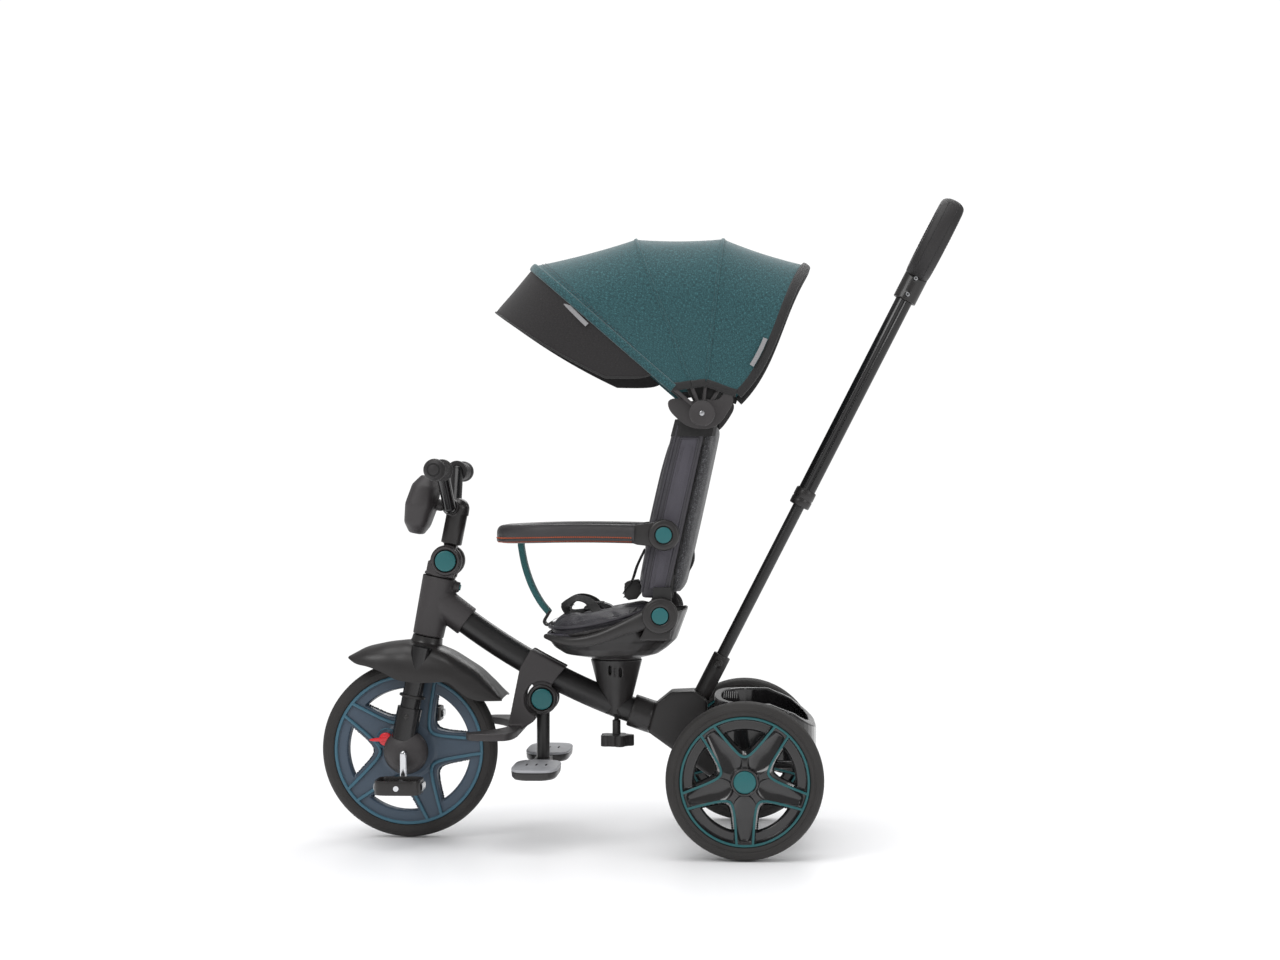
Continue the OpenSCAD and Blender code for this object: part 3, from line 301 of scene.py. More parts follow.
def addPiece(name, mesh, finish, body, cad=(), sharp=40, rounded=0):
    work = bmesh.new()
    work.from_mesh(mesh)
    bmesh.ops.recalc_face_normals(work, faces=work.faces)
    for f in work.faces:
        f.smooth = True
    for e in work.edges:
        e.smooth = len(e.link_faces) == 2 and e.calc_face_angle(0.0) < math.radians(sharp)
    work.to_mesh(mesh)
    work.free()
    obj = bpy.data.objects.new(name, mesh)
    bpy.context.scene.collection.objects.link(obj)
    mesh.materials.clear()
    mesh.materials.append(finish)
    if rounded:
        obj.modifiers.new("rounded", "SUBSURF").levels = rounded
        obj.modifiers["rounded"].render_levels = rounded
    if body:
        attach(obj, body)
    if cad:
        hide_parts(*cad)
    return obj


# quads over a grid of points, with the distances along and across it in metres as the UV
def skinGrid(rows, around=False, along=False, caps=False):
    rows = np.asarray(rows, float)
    m, n = rows.shape[:2]
    runAlong = np.append(0, np.cumsum(np.linalg.norm(np.roll(rows, -1, 0) - rows, axis=2).mean(1)))
    runAcross = np.append(0, np.cumsum(np.linalg.norm(np.roll(rows, -1, 1) - rows, axis=2).mean(0)))
    faces, uv = [], []
    for j in range(m if along else m - 1):
        k = (j + 1) % m
        for i in range(n if around else n - 1):
            l = (i + 1) % n
            faces.append((j * n + i, j * n + l, k * n + l, k * n + i))
            for a, b in ((j, i), (j, i + 1), (j + 1, i + 1), (j + 1, i)):
                uv.append((runAlong[a], runAcross[b]))
    if caps:
        for ring in (range(n)[::-1], range((m - 1) * n, m * n)):
            faces.append(tuple(ring))
            uv += [(rows.reshape(-1, 3)[i][0], rows.reshape(-1, 3)[i][2]) for i in ring]
    return rows.reshape(-1, 3), faces, uv


# a section carried along a path, upright against the given side direction
def carried(path, section, side=(0, 1, 0), closed=False, scale=None, twist=None):
    path, section, side = np.asarray(path, float), np.asarray(section, float), np.asarray(side, float)
    if closed:
        run = np.roll(path, -1, 0) - np.roll(path, 1, 0)
    else:
        run = np.gradient(path, axis=0)
    run /= np.linalg.norm(run, axis=1)[:, None]
    rows = []
    for k, (p, t) in enumerate(zip(path, run)):
        s = side - np.dot(side, t) * t
        s /= np.linalg.norm(s)
        u = np.cross(s, t)
        c = section * (scale[k] if scale is not None else 1.0)
        if twist is not None:
            a = math.radians(twist[k])
            c = c @ np.array([[math.cos(a), math.sin(a)], [-math.sin(a), math.cos(a)]])
        rows.append(p + c[:, :1] * s + c[:, 1:2] * u)
    return rows


def ovalSection(width, height, n=16, power=2.0):
    a = np.linspace(0, 2 * math.pi, n, endpoint=False)
    c, s = np.cos(a), np.sin(a)
    return np.stack([width / 2 * np.sign(c) * abs(c) ** (2 / power),
        height / 2 * np.sign(s) * abs(s) ** (2 / power)], 1)


# points on a smooth line through a few given ones
def smoothLine(points, count=40, closed=False):
    p = np.asarray(points, float)
    if closed:
        p = np.vstack([p[-1], p, p[0], p[1]])
    else:
        p = np.vstack([2 * p[0] - p[1], p, 2 * p[-1] - p[-2]])
    spans = len(p) - 3
    out = []
    for t in np.linspace(0, spans, count, endpoint=not closed):
        k = min(int(t), spans - 1)
        f = t - k
        a, b, c, d = p[k:k + 4]
        out.append(0.5 * ((2 * b) + (c - a) * f + (2 * a - 5 * b + 4 * c - d) * f * f + (3 * b - a - 3 * c + d) * f ** 3))
    return np.array(out)


def evenLine(points, count):
    p = np.asarray(points, float)
    run = np.append(0, np.cumsum(np.linalg.norm(np.diff(p, axis=0), axis=1)))
    want = np.linspace(0, run[-1], count)
    return np.stack([np.interp(want, run, p[:, i]) for i in range(p.shape[1])], 1)


def roundedCorners(points, times=2, closed=True):
    p = np.asarray(points, float)
    for _ in range(times):
        q = np.roll(p, -1, 0)
        cut = np.stack([0.75 * p + 0.25 * q, 0.25 * p + 0.75 * q], 1).reshape(-1, p.shape[1])
        p = cut if closed else np.vstack([p[0], cut[:-2], p[-1]])
    return p


# a profile of (radius, side) points turned about an axis along Y
def turned(profile, centre, steps=128):
    a = np.linspace(0, 2 * math.pi, steps, endpoint=False)
    profile = np.asarray(profile, float)
    return [[(centre[0] + r * math.cos(t), centre[1] + y, centre[2] + r * math.sin(t)) for r,
        y in profile] for t in a]


# the CAD node's own solid with its moulded edges rounded over
def softenedCopy(node, name, finish, voxel=1.6, rounds=6, cad=None, sharp=60):
    mesh = cadNodes[node].data.copy()
    work = bmesh.new()
    work.from_mesh(mesh)
    bmesh.ops.remove_doubles(work, verts=work.verts, dist=1e-6)
    work.to_mesh(mesh)
    work.free()
    maker = bpy.data.objects.new("maker", mesh)
    bpy.context.scene.collection.objects.link(maker)
    shell = maker.modifiers.new("shell", "REMESH")
    shell.mode = "VOXEL"
    shell.voxel_size = voxel * mm
    easing = maker.modifiers.new("easing", "SMOOTH")
    easing.factor = 0.5
    easing.iterations = rounds
    made = bpy.data.meshes.new_from_object(maker.evaluated_get(bpy.context.evaluated_depsgraph_get()))
    bpy.data.objects.remove(maker)
    made.name = name
    return addPiece(name, made, finish, bodyOf[node], cad or (node,), sharp)


def smoothStep(x, a, b):
    t = np.clip((x - a) / (b - a), 0, 1)
    return t * t * (3 - 2 * t)


# ---- wheels

frontWheel = dict(
    rimR=126.6, boreR=6.3, face=20, ringR=124.6, windows=39, vertexR=49, vertexRound=13, ribEnd=30.2,
    openR=106, inset=6, flange=4.5, lineWidth=5.4, petals=False,
    tyre=[(127.0, 13), (127.0, 17.8), (128.6, 20.4), (131.5, 21.6), (136.5, 22.0), (139.3, 21.8), (139.9, 20.6),
          (141.4, 20.3), (144.6, 18.2), (147.6, 14.0), (149.2, 9.0), (149.3, 8.3), (148.3, 7.9), (148.3, 6.7),
              (149.5, 6.2), (150.0, 0)])
rearWheel = dict(
    rimR=103.7, boreR=6.3, face=20, ringR=101.8, windows=18, vertexR=40, vertexRound=11, ribEnd=28.6,
    openR=84, inset=3, flange=13, lineWidth=4.0, petals=True,
    tyre=[(104.0, 13), (104.0, 17.8), (105.4, 20.4), (108.0, 21.6), (110.6, 21.9), (111.4, 20.9), (113.0, 20.9),
        (114.0, 22.0),
          (117.6, 21.9), (118.6, 20.8), (120.4, 20.2), (123.4, 17.6), (125.4, 13.6), (126.4, 9.4), (126.5, 8.6),
          (125.6, 8.2), (125.6, 6.8), (126.6, 6.4), (127.0, 0)])


def windowLine(plan):
    end = math.radians(plan["ribEnd"])
    w = plan["vertexRound"]
    x1, y1 = (plan["ringR"] - 1) * math.cos(end), (plan["ringR"] - 1) * math.sin(end)
    rise = math.atan2(math.sqrt(y1 * y1 + w * w) - w, x1 - plan["vertexR"])
    return rise, y1


# how far a face point lies inside its window's V, and its place along the nearest spoke
def faceFields(plan, r, a):
    rise, _ = windowLine(plan)
    turn = np.radians((np.degrees(a) - plan["windows"] + 36) % 72 - 36)
    x, y = r * np.cos(turn), r * np.sin(turn)
    w = plan["vertexRound"]
    inV = (x - plan["vertexR"]) * math.sin(rise) - (np.sqrt(y * y + w * w) - w) * math.cos(rise)
    spoke = np.radians((np.degrees(a) - plan["windows"]) % 72 - 36)
    return inV, r * np.cos(spoke), r * np.sin(spoke)


def faceDepth(plan, r, a):
    inV, u, v = faceFields(plan, r, a)
    if plan["petals"]:
        wide = np.where(u < 46, 20 * np.sqrt(np.clip(1 - ((u - 46) / 27) ** 2, 0, 1)), 20 - (u - 46) * 0.2) + 1e-6
        scoop = np.clip(1 - (v / wide) ** 2, 0, 1) ** 0.8 * (u > 19) * smoothStep(plan["ringR"] - 5 - r, 0, 4)
        depth = 2.4 + 6.5 * scoop + 2.0 * smoothStep(r, 26, 60)
    else:
        depth = 4.6 - 1.5 * np.clip(1 - (v / 24) ** 2, 0, 1) + 1.2 * smoothStep(r, 48, 110) - 2.0 * smoothStep(-r,
            -50, -44)
    inWindow = smoothStep(inV, 1.0, 3.4) * smoothStep(plan["ringR"] - 2 - r, 0, 2.5)
    depth = depth + (plan["flange"] - depth) * inWindow
    depth = depth + (0.8 - depth) * smoothStep(r, plan["ringR"] - 2.6, plan["ringR"] - 1.6)
    if plan["petals"]:
        depth = depth + (1.2 - depth) * smoothStep(-r, -24, -22)
    hole = np.minimum(inV - plan["inset"], plan["openR"] - r)
    deep = smoothStep(hole, 0, 2.4)
    return depth + (plan["face"] - depth) * deep, hole


def makeWheel(tag, plan, centre, body, rimNode, tyreNode, rimFinish, lineFinish):
    c = np.array(centre)
    half = [(r, y) for r, y in plan["tyre"]]
    section = roundedCorners(half, 2, closed=False)
    section = np.vstack([section, [(r, -y) for r, y in section[::-1][1:]]])
    addMesh(tag + "Tyre", *skinGrid(turned(section * mm, c, 200), around=True, along=True)[:2], tyreFoam, body,
        "tyre", (tyreNode,), sharp=50)
    radii = np.concatenate([[plan["boreR"]], np.linspace(9, plan["rimR"] - 4, 88),
        plan["rimR"] - np.array([3.2, 2.4, 1.7, 1, 0.4, 0])])
    angles = np.linspace(0, 2 * math.pi, 400, endpoint=False)
    r, a = np.meshgrid(radii, angles, indexing="ij")
    depth, hole = faceDepth(plan, r, a)
    m, n = r.shape
    points, faces = [], []
    for side in (-1, 1):
        y = side * (plan["face"] - depth) * mm
        points.append(np.stack([c[0] + r * np.cos(a) * mm, c[1] + y, c[2] + r * np.sin(a) * mm], -1).reshape(-1, 3))
    solid = hole < 2.9
    for side in (0, 1):
        for j in range(m - 1):
            for i in range(n):
                l = (i + 1) % n
                if solid[j, i] or solid[j, l] or solid[j + 1, i] or solid[j + 1, l]:
                    faces.append(tuple(side * m * n + q for q in (j * n + i, j * n + l, (j + 1) * n + l,
                        (j + 1) * n + i)))
    for j in (0, m - 1):
        for i in range(n):
            l = (i + 1) % n
            faces.append((j * n + i, j * n + l, m * n + j * n + l, m * n + j * n + i))
    rim = addMesh(tag + "Rim", np.vstack(points), faces, rimFinish, None, None, sharp=180)
    work = bmesh.new()
    work.from_mesh(rim.data)
    bmesh.ops.remove_doubles(work, verts=work.verts, dist=0.02 * mm)
    bmesh.ops.delete(work, geom=[v for v in work.verts if not v.link_faces], context="VERTS")
    work.to_mesh(rim.data)
    work.free()
    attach(rim, body)
    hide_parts(rimNode)
    # the raised coloured line: a ring at the bead and a rounded V round each window
    rise, y1 = windowLine(plan)
    w = plan["vertexRound"]
    across = np.linspace(-y1, y1, 70)
    vee = np.stack([plan["vertexR"] + (np.sqrt(across ** 2 + w * w) - w) / math.tan(rise), across], 1)
    ring = np.stack([plan["ringR"] * np.cos(angles[::2]), plan["ringR"] * np.sin(angles[::2])], 1)
    section = ovalSection(plan["lineWidth"], 3.4, 12, 3.2)
    allPoints, allFaces = [], []
    for side in (-1, 1):
        for k in range(6):
            if k == 5:
                flat, closed = ring, True
            else:
                t = math.radians(plan["windows"] + 72 * k)
                flat, closed = vee @ np.array([[math.cos(t), math.sin(t)], [-math.sin(t), math.cos(t)]]), False
            y = np.full(len(flat), side * (plan["face"] - 1.6))
            path = np.stack([flat[:, 0], y, flat[:, 1]], 1)
            tube = skinGrid(carried(path, section[:, ::-1], closed=closed), around=True, along=closed,
                caps=not closed)
            base = sum(len(p) for p in allPoints)
            allPoints.append(np.array(tube[0]) * mm + c)
            allFaces += [tuple(base + q for q in f) for f in tube[1]]
    addMesh(tag + "RimLines", np.vstack(allPoints), allFaces, lineFinish, body, slotOf[rimNode], sharp=60)


def middle(node):
    lo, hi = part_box(node)
    return (np.array(lo) + np.array(hi)) / 2


makeWheel("front", frontWheel, middle("front_tyre"), "front_wheel", "front_rim", "front_tyre", rimBlue, rimLine)
makeWheel("rearLeft", rearWheel, middle("rear_tyre_left"), "rear_wheel_left", "rear_rim_left", "rear_tyre_left",
    glossPlastic, rearLine)
makeWheel("rearRight", rearWheel, middle("rear_tyre_right"), "rear_wheel_right", "rear_rim_right",
    "rear_tyre_right", glossPlastic, rearLine)

# domed teal hub caps in a raised dark collar
for side, body, cap in ((-1, "rear_wheel_left", "rear_cap_left"), (1, "rear_wheel_right", "rear_cap_right")):
    c = middle(cap)
    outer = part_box(cap)[0][1] if side < 0 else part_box(cap)[1][1]
    dome = [(0.01, 0), (9, -0.4), (14.5, -1.0), (17.2, -1.8), (18.0, -3.0), (18.0, -5.0), (0.01, -5.0)]
    collar = [(18.4, -4.0), (18.6, -1.9), (20.0, -1.3), (21.6, -1.7), (22.6, -3.4), (22.8, -8.0), (18.4, -8.0)]
    for tag, profile, finish, slotName, swap in (("Cap", dome, tealPlastic, "teal", (cap,)),
        ("Collar", collar, glossPlastic, "plastic", ())):
        line = roundedCorners([(r, side * y) for r, y in profile], 1, closed=tag == "Collar")
        ringRows = turned(line * mm, (c[0], outer, c[2]), 96)
        addMesh(body.replace("_", "") + tag, *skinGrid(ringRows, around=tag == "Collar", along=True)[:2], finish,
            body, slotName, swap, sharp=50)
print("wheels made")


# ---- soft goods helpers

# swells a closed form as stuffing would, then lets no point move further than the cap
def swell(points, faces, voxel=5.0, pressure=4.0, cap=8.0, frames=20):
    mesh = bpy.data.meshes.new("stuffing")
    mesh.from_pydata([tuple(map(float, p)) for p in points], [], faces)
    work = bmesh.new()
    work.from_mesh(mesh)
    bmesh.ops.recalc_face_normals(work, faces=work.faces)
    work.to_mesh(mesh)
    work.free()
    maker = bpy.data.objects.new("stuffing", mesh)
    bpy.context.scene.collection.objects.link(maker)
    shell = maker.modifiers.new("shell", "REMESH")
    shell.mode = "VOXEL"
    shell.voxel_size = voxel * mm
    even = bpy.data.meshes.new_from_object(maker.evaluated_get(bpy.context.evaluated_depsgraph_get()))
    maker.modifiers.clear()
    maker.data = even
    before = np.array([v.co for v in even.vertices])
    after = before
    soft = maker.modifiers.new("soft", "CLOTH")
    soft.settings.use_pressure = True
    soft.settings.uniform_pressure_force = pressure
    soft.settings.tension_stiffness = 12
    soft.settings.bending_stiffness = 1.5
    soft.settings.effector_weights.gravity = 0
    soft.point_cache.frame_start, soft.point_cache.frame_end = 1, frames
    scene = bpy.context.scene
    for k in range(1, frames + 1):
        scene.frame_set(k)
    moved = maker.evaluated_get(bpy.context.evaluated_depsgraph_get()).to_mesh()
    after = np.array([v.co for v in moved.vertices])
    scene.frame_set(1)
    step = after - before
    far = np.linalg.norm(step, axis=1, keepdims=True)
    after = before + step * np.minimum(1, cap * mm / np.maximum(far, 1e-9))
    faces = [tuple(p.vertices) for p in even.polygons]
    bpy.data.objects.remove(maker)
    return after, faces


# short raised threads laid end to end along a line, as a sewing machine leaves them
def stitchRun(name, path, finish, body, slotName, pitch=4.2, length=3.0, thick=0.9):
    path = np.asarray(path, float) / mm
    run = np.append(0, np.cumsum(np.linalg.norm(np.diff(path, axis=0), axis=1)))
    points, faces = [], []
    for s in np.arange(pitch / 2, run[-1] - pitch / 2, pitch):
        ends = [np.array([np.interp(s + d, run, path[:, k]) for k in range(3)]) for d in (-length / 2, 0,
            length / 2)]
        run3 = ends[2] - ends[0]
        run3 /= max(np.linalg.norm(run3), 1e-9)
        a = np.cross(run3, (0.3, 0.9, 0.31))
        a /= np.linalg.norm(a)
        b = np.cross(run3, a)
        base = len(points)
        for p, w in zip(ends, (0.35, 1.0, 0.35)):
            for q in range(6):
                t = math.pi * q / 3
                points.append((p + thick / 2 * w * (math.cos(t) * a + math.sin(t) * b)) * mm)
        for j in range(2):
            for q in range(6):
                l = (q + 1) % 6
                faces.append((base + 6 * j + q, base + 6 * j + l, base + 6 * j + 6 + l, base + 6 * j + 6 + q))
        faces += [tuple(base + q for q in range(6))[::-1], tuple(base + 12 + q for q in range(6))]
    return addMesh(name, points, faces, finish, body, slotName)


def archSide(angle):
    return (-math.sin(math.radians(angle)), 0, math.cos(math.radians(angle)))


def cordTube(name, path, width, height, finish, body, slotName, closed=False, side=(0, 1, 0), cad=(), power=2.0,
    n=14, sharp=50, uvName="tapeRun"):
    rows = carried(path, ovalSection(width, height, n, power), side, closed)
    points, faces, uv = skinGrid(rows, around=True, along=closed, caps=not closed)
    return addMesh(name, np.asarray(points) * mm, faces, finish, body, slotName, cad, uv=np.asarray(uv) * mm,
        uvName=uvName, sharp=sharp)


# ---- canopy

pivot = jointAt["canopy_fold"] / mm
canopyPlan = dict(
    angles=(56, 83.5, 111, 138.5), reach=(299, 293, 311, 373), half=(151, 158, 165, 172), bend=110, over=4.6,
    sag=3.2, startMid=46, startEnds=62, rearPull=26, hemWidth=15)
visorPlan = dict(turn=15, twist=9, grow=12, startBack=104, startFront=168)


# one arch over the canopy: from the near leg's foot over the top to the far leg's foot, in mm
def archLine(half, reach, angle, start, count=97, pull=0.0, twist=0.0):
    bend = canopyPlan["bend"]
    q = np.linspace(0, math.pi / 2, 14)
    leg = [(start + (reach - bend - start) * t, -half) for t in np.linspace(0, 1, 10)[:-1]]
    arc = [(reach - bend + bend * math.sin(t), -half + bend * (1 - math.cos(t))) for t in q]
    top = [(reach, y) for y in np.linspace(-half + bend, 0, 4)[1:]]
    side = np.array(leg + arc + top)
    whole = np.vstack([side, side[::-1][1:] * (1, -1)])
    line = evenLine(whole, count)
    low = 1 - np.clip((line[:, 0] - 60) / (reach - 60), 0, 1)
    a = np.radians(angle - pull * low ** 2 + twist * low)
    return np.stack([pivot[0] + line[:, 0] * np.cos(a), line[:, 1], pivot[2] + line[:, 0] * np.sin(a)], 1)


def footAt(angle):
    p = canopyPlan
    return p["startMid"] + (p["startEnds"] - p["startMid"]) * ((angle - 97) / 41.5) ** 2


canopyBands = [("canopy", "hoop_3"), ("hoop_3", "hoop_2"), ("hoop_2", "front_hoop")]
panels = []
for i, (bodyA, bodyB) in enumerate(canopyBands):
    p = canopyPlan
    rows = []
    ends = [archLine(p["half"][k] + p["over"], p["reach"][k] + p["over"], p["angles"][k], footAt(p["angles"][k]),
                     pull=p["rearPull"] if k == 0 else 0) for k in (i, i + 1)]
    across = np.linspace(-1, 1, len(ends[0]))
    inward = ends[0] * 0.5 + ends[1] * 0.5 - np.array([pivot[0] * 0.6, 0, pivot[2]])
    inward /= np.linalg.norm(inward, axis=1)[:, None]
    for f in np.linspace(0, 1, 19):
        line = ends[0] * (1 - f) + ends[1] * f
        # the cloth pulls hollow between hoops, with small drags where it gathers low down
        dip = p["sag"] * math.sin(math.pi * f) ** 0.8 * (1 - 0.6 * abs(across) ** 3)
        drag = 0.8 * np.sin(across * 43 + 5 * f + i * 2.1) * math.sin(math.pi * f) * (0.1 + abs(across) ** 5)
        rows.append(line - inward * (dip + drag)[:, None])
    points, faces, uv = skinGrid(rows)
    n = len(rows[0])
    panel = addMesh("canopyPanel%d" % (i + 1), points * mm, faces, canopyMelange, None, "canopy_cloth",
        uv=np.asarray(uv) * mm)
    thick = panel.modifiers.new("clothThickness", "SOLIDIFY")
    thick.thickness, thick.offset = 1.4 * mm, -1.0
    top = [np.array(rows[k][n // 2]) * mm for k in (0, -1)]
    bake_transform(panel)
    panels.append((panel, rows, bodyA, bodyB, top))
    # black elastic binding along both lower edges
    for side, cols in (("Near", slice(0, 4)), ("Far", slice(n - 4, n))):
        edge = np.array(rows)[:, cols]
        path = edge[:, 0] if side == "Near" else edge[:, -1]
        up = edge[:, 1] - edge[:, 0] if side == "Near" else edge[:, -2] - edge[:, -1]
        up = up / np.linalg.norm(up, axis=1)[:, None]
        path = path + up * 3.0
        flat = carried(path, ovalSection(4.6, 13.0, 14, 2.6), side=(0, 1, 0))
        pts, fcs, tapeUv = skinGrid(flat, around=True, caps=True)
        tape = addMesh("lowerBinding%s%d" % (side, i + 1), pts * mm, fcs, bindingTape, None, "visor_cloth",
            uv=np.asarray(tapeUv) * mm, uvName="tapeRun", sharp=70)
        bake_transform(tape)
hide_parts("canopy_panels")


def along(rows, k, lift=0.0):
    line = np.array(rows[k])
    away = line - np.array([pivot[0] * 0.4 - 20, 0, pivot[2] + 60])
    return line + lift * away / np.linalg.norm(away, axis=1)[:, None]


# folded channels over the two middle hoops; the sewn line each side of each is not drawn
for tag, rows, k, body in (("Rear", panels[0][1], -1, "hoop_3"), ("Middle", panels[1][1], -1, "hoop_2")):
    line = along(rows, k, 0.2)[2:-2]
    cordTube("channel" + tag, line, 6.0, 2.8, canopyMelange, body, "canopy_cloth", uvName="clothRun",
        side=archSide(canopyPlan["angles"][1 if tag == "Rear" else 2]))
# thick front hem with a double row of stitches
hemLine = archLine(172 + 3.4, 373 + 3.4, 138.9, 62, 120)
cordTube("frontHem", hemLine, canopyPlan["hemWidth"], 9.0, canopyMelange, "front_hoop", "canopy_cloth", power=2.6,
    uvName="clothRun", side=archSide(138.9))
frontRows = panels[2][1]
for k, mixIn in enumerate((0.0, 0.55)):
    line = along(frontRows, -3, 0.9)[4:-4] * (1 - mixIn) + along(frontRows, -2, 0.9)[4:-4] * mixIn
    stitchRun("hemStitch%d" % (k + 1), line * mm, darkThread, "front_hoop", "canopy_cloth", 4.6, 3.2, 0.8)
# black binding down the rear edge
rearLine = archLine(151 + 2.6, 299 + 2.8, 56.2, 62, 120, pull=canopyPlan["rearPull"])
rearLine[:, 0] += 4.5
cordTube("rearBinding", rearLine, 15.0, 7.0, bindingTape, "canopy", "visor_cloth", power=2.6, side=archSide(52))
print("canopy cloth hung")

# stiffened black sun visor
visorRows = []
for f in np.linspace(0, 1, 12):
    v = visorPlan
    start = v["startBack"] + (v["startFront"] - v["startBack"]) * f ** 2.2
    line = archLine(172 + 4.0 - 4 * f - 2.0 * math.sin(math.pi * f),
        373 + 3.5 + v["grow"] * f - 3.0 * math.sin(math.pi * f), 138.5 + 0.8 + (v["turn"] - 0.8) * f, start, 97,
                    twist=v["twist"] * f)
    visorRows.append(line)
points, faces, uv = skinGrid(visorRows)
visor = addMesh("sunVisor", points * mm, faces, visorCloth, "front_hoop", "visor_cloth", ("canopy_visor",),
    uv=np.asarray(uv) * mm)
thick = visor.modifiers.new("clothThickness", "SOLIDIFY")
thick.thickness, thick.offset = 2.0 * mm, -1.0
visorGrid = np.array(visorRows)
edge = np.vstack([visorGrid[1:, 0][:-1], visorGrid[-1], visorGrid[1:, -1][::-1][1:]])
cordTube("visorEdge", edge, 3.4, 3.4, bindingTape, "front_hoop", "visor_cloth", side=archSide(150))

# reflective tabs sewn at the front hem and on the rear binding
for side, s in (("Near", -1), ("Far", 1)):
    for tag, body, a0, a1, u0, u1, y0, y1 in (("Front", "front_hoop", 140.6, 142.4, 302, 236, 170, 174),
        ("Rear", "canopy", 50.0, 44.2, 160, 112, 156, 157)):
        strip = []
        for t in np.linspace(0, 1, 14):
            a, u = math.radians(a0 + (a1 - a0) * t), u0 + (u1 - u0) * t
            tuck = 110 - math.sqrt(max(110 ** 2 - max(u - (373 - 110), 0) ** 2, 0)) if tag == "Front" else 0
            strip.append((pivot[0] + u * math.cos(a), s * (y0 + (y1 - y0) * t + 3.2 - tuck * 0.96),
                pivot[2] + u * math.sin(a)))
        cordTube("reflectTab%s%s" % (tag, side), strip, 2.0, 7.4, reflectTape, body, "webbing", power=5)
# hinge covers with one screw each, and the fan-shaped bracket the cloth hooks over
bracketPlan = dict(discR=21, plateY=(152.5, 156.5), coverY=(176.6, 181.0), screwR=4.6,
                   fan=[(-55, 6), (-38, -11), (-22, -22), (0, -26), (22, -22), (38, -4), (54, 24), (40, 38),
                       (24, 20), (0, 26), (-20, 19), (-34, 26), (-57, 24)])


def plate(name, outline, y0, y1, finish, body, at=(0, 0), bevel=1.2, cad=()):
    # a flat moulded plate from its outline in X and Z, its rims rounded over
    line = np.asarray(outline, float) + np.asarray(at)
    work = bmesh.new()
    ring = [work.verts.new((x * mm, y0 * mm, z * mm)) for x, z in line]
    face = work.faces.new(ring)
    lifted = bmesh.ops.extrude_face_region(work, geom=[face])
    moved = [v for v in lifted["geom"] if isinstance(v, bmesh.types.BMVert)]
    for v in moved:
        v.co.y = y1 * mm
    work.normal_update()
    edges = [e for e in work.edges if abs(e.verts[0].co.y - e.verts[1].co.y) < 1e-9]
    bmesh.ops.bevel(work, geom=edges, offset=bevel * mm, segments=3, profile=0.6, affect="EDGES",
        clamp_overlap=True)
    mesh = bpy.data.meshes.new(name)
    work.to_mesh(mesh)
    work.free()
    return addPiece(name, mesh, finish, body, cad, 35)


def discButton(name, centre, radius, y0, y1, finish, body, slotName, cad=(), dish=1.2, lip=0.0):
    # a turned button or boss: domed outer face, rounded rim; y1 is its outer face
    out = 1 if y1 > y0 else -1
    profile = [(0.01, dish), (radius * 0.6, dish * 0.7), (radius * 0.86, dish * 0.25 + lip),
        (radius - 0.8, lip - 0.3), (radius, -1.2 + lip * 0.4), (radius, -abs(y1 - y0)), (0.01, -abs(y1 - y0))]
    line = roundedCorners([(r, out * y) for r, y in profile], 2, closed=False)
    rows = turned(line * mm, (centre[0] * mm, y1 * mm, centre[1] * mm), 72)
    return addMesh(name, *skinGrid(rows, along=True)[:2], finish, body, slotName, cad, sharp=55)


for tag, s in (("Near", -1), ("Far", 1)):
    p = bracketPlan
    fan = [(19 * math.cos(t), 19 * math.sin(t)) for t in np.radians(np.linspace(128, 62, 8))] + [(54 * math.cos(t),
        54 * math.sin(t)) for t in np.radians(np.linspace(58, 122, 14))]
    plate("hoodGusset" + tag, fan, s * 146, s * 149, innerDark, "canopy", pivot[[0, 2]], bevel=0.8)
    plate("hoodBracket" + tag, roundedCorners(p["fan"], 2), s * p["plateY"][0], s * p["plateY"][1], casingPlastic,
        "canopy", pivot[[0, 2]])
    discButton("hoodHingeCover" + tag, pivot[[0, 2]], p["discR"], s * p["coverY"][0], s * p["coverY"][1],
        casingPlastic, "canopy", "plastic_grey", dish=-0.6, lip=0.8)
    discButton("hoodScrew" + tag, pivot[[0, 2]], p["screwR"], s * (p["coverY"][1] - 1), s * (p["coverY"][1] + 1.0),
        screwSteel, "canopy", "chrome", dish=0.8)
print("visor, tabs and brackets made")


# ---- seat and backrest

recline = jointAt["recline"] / mm
backPlan = dict(half=121.5, padShare=0.66, rows=[34, 60, 100, 150, 200, 250, 290, 310, 318])


def backFront(h):
    return recline[0] - 40 + 66 * (h / 317) ** 1.25


def backRear(h):
    return recline[0] + 22 + 73 * (h / 317) ** 0.9


# one level ring of the backrest: u runs 0..1 round it, its front crowned
def backRing(h, f0, f1, inset, crown=0.0, n=44, power=5.0):
    a, b = backFront(h), backRear(h)
    x0, x1 = a + (b - a) * f0, a + (b - a) * f1
    half = backPlan["half"] - inset
    out = []
    for t in np.linspace(0, 2 * math.pi, n, endpoint=False):
        c, s = math.cos(t), math.sin(t)
        x = (x0 + x1) / 2 + (x1 - x0) / 2 * math.copysign(abs(c) ** (2 / power), c)
        y = half * math.copysign(abs(s) ** (2 / power), s)
        if c < 0:
            x -= crown * math.cos(y / half * math.pi / 2) ** 0.8
        out.append((x, y, recline[2] + h))
    return out


padRows = [backRing(h, 0.04, backPlan["padShare"], 3 + (8 if h > 312 or h < 40 else 0) * 0.7,
    3.0) for h in backPlan["rows"]]
points, faces, _ = skinGrid(padRows, around=True, caps=True)
points, faces = swell(points * mm, faces, 5.0, 4.0, 6.0)
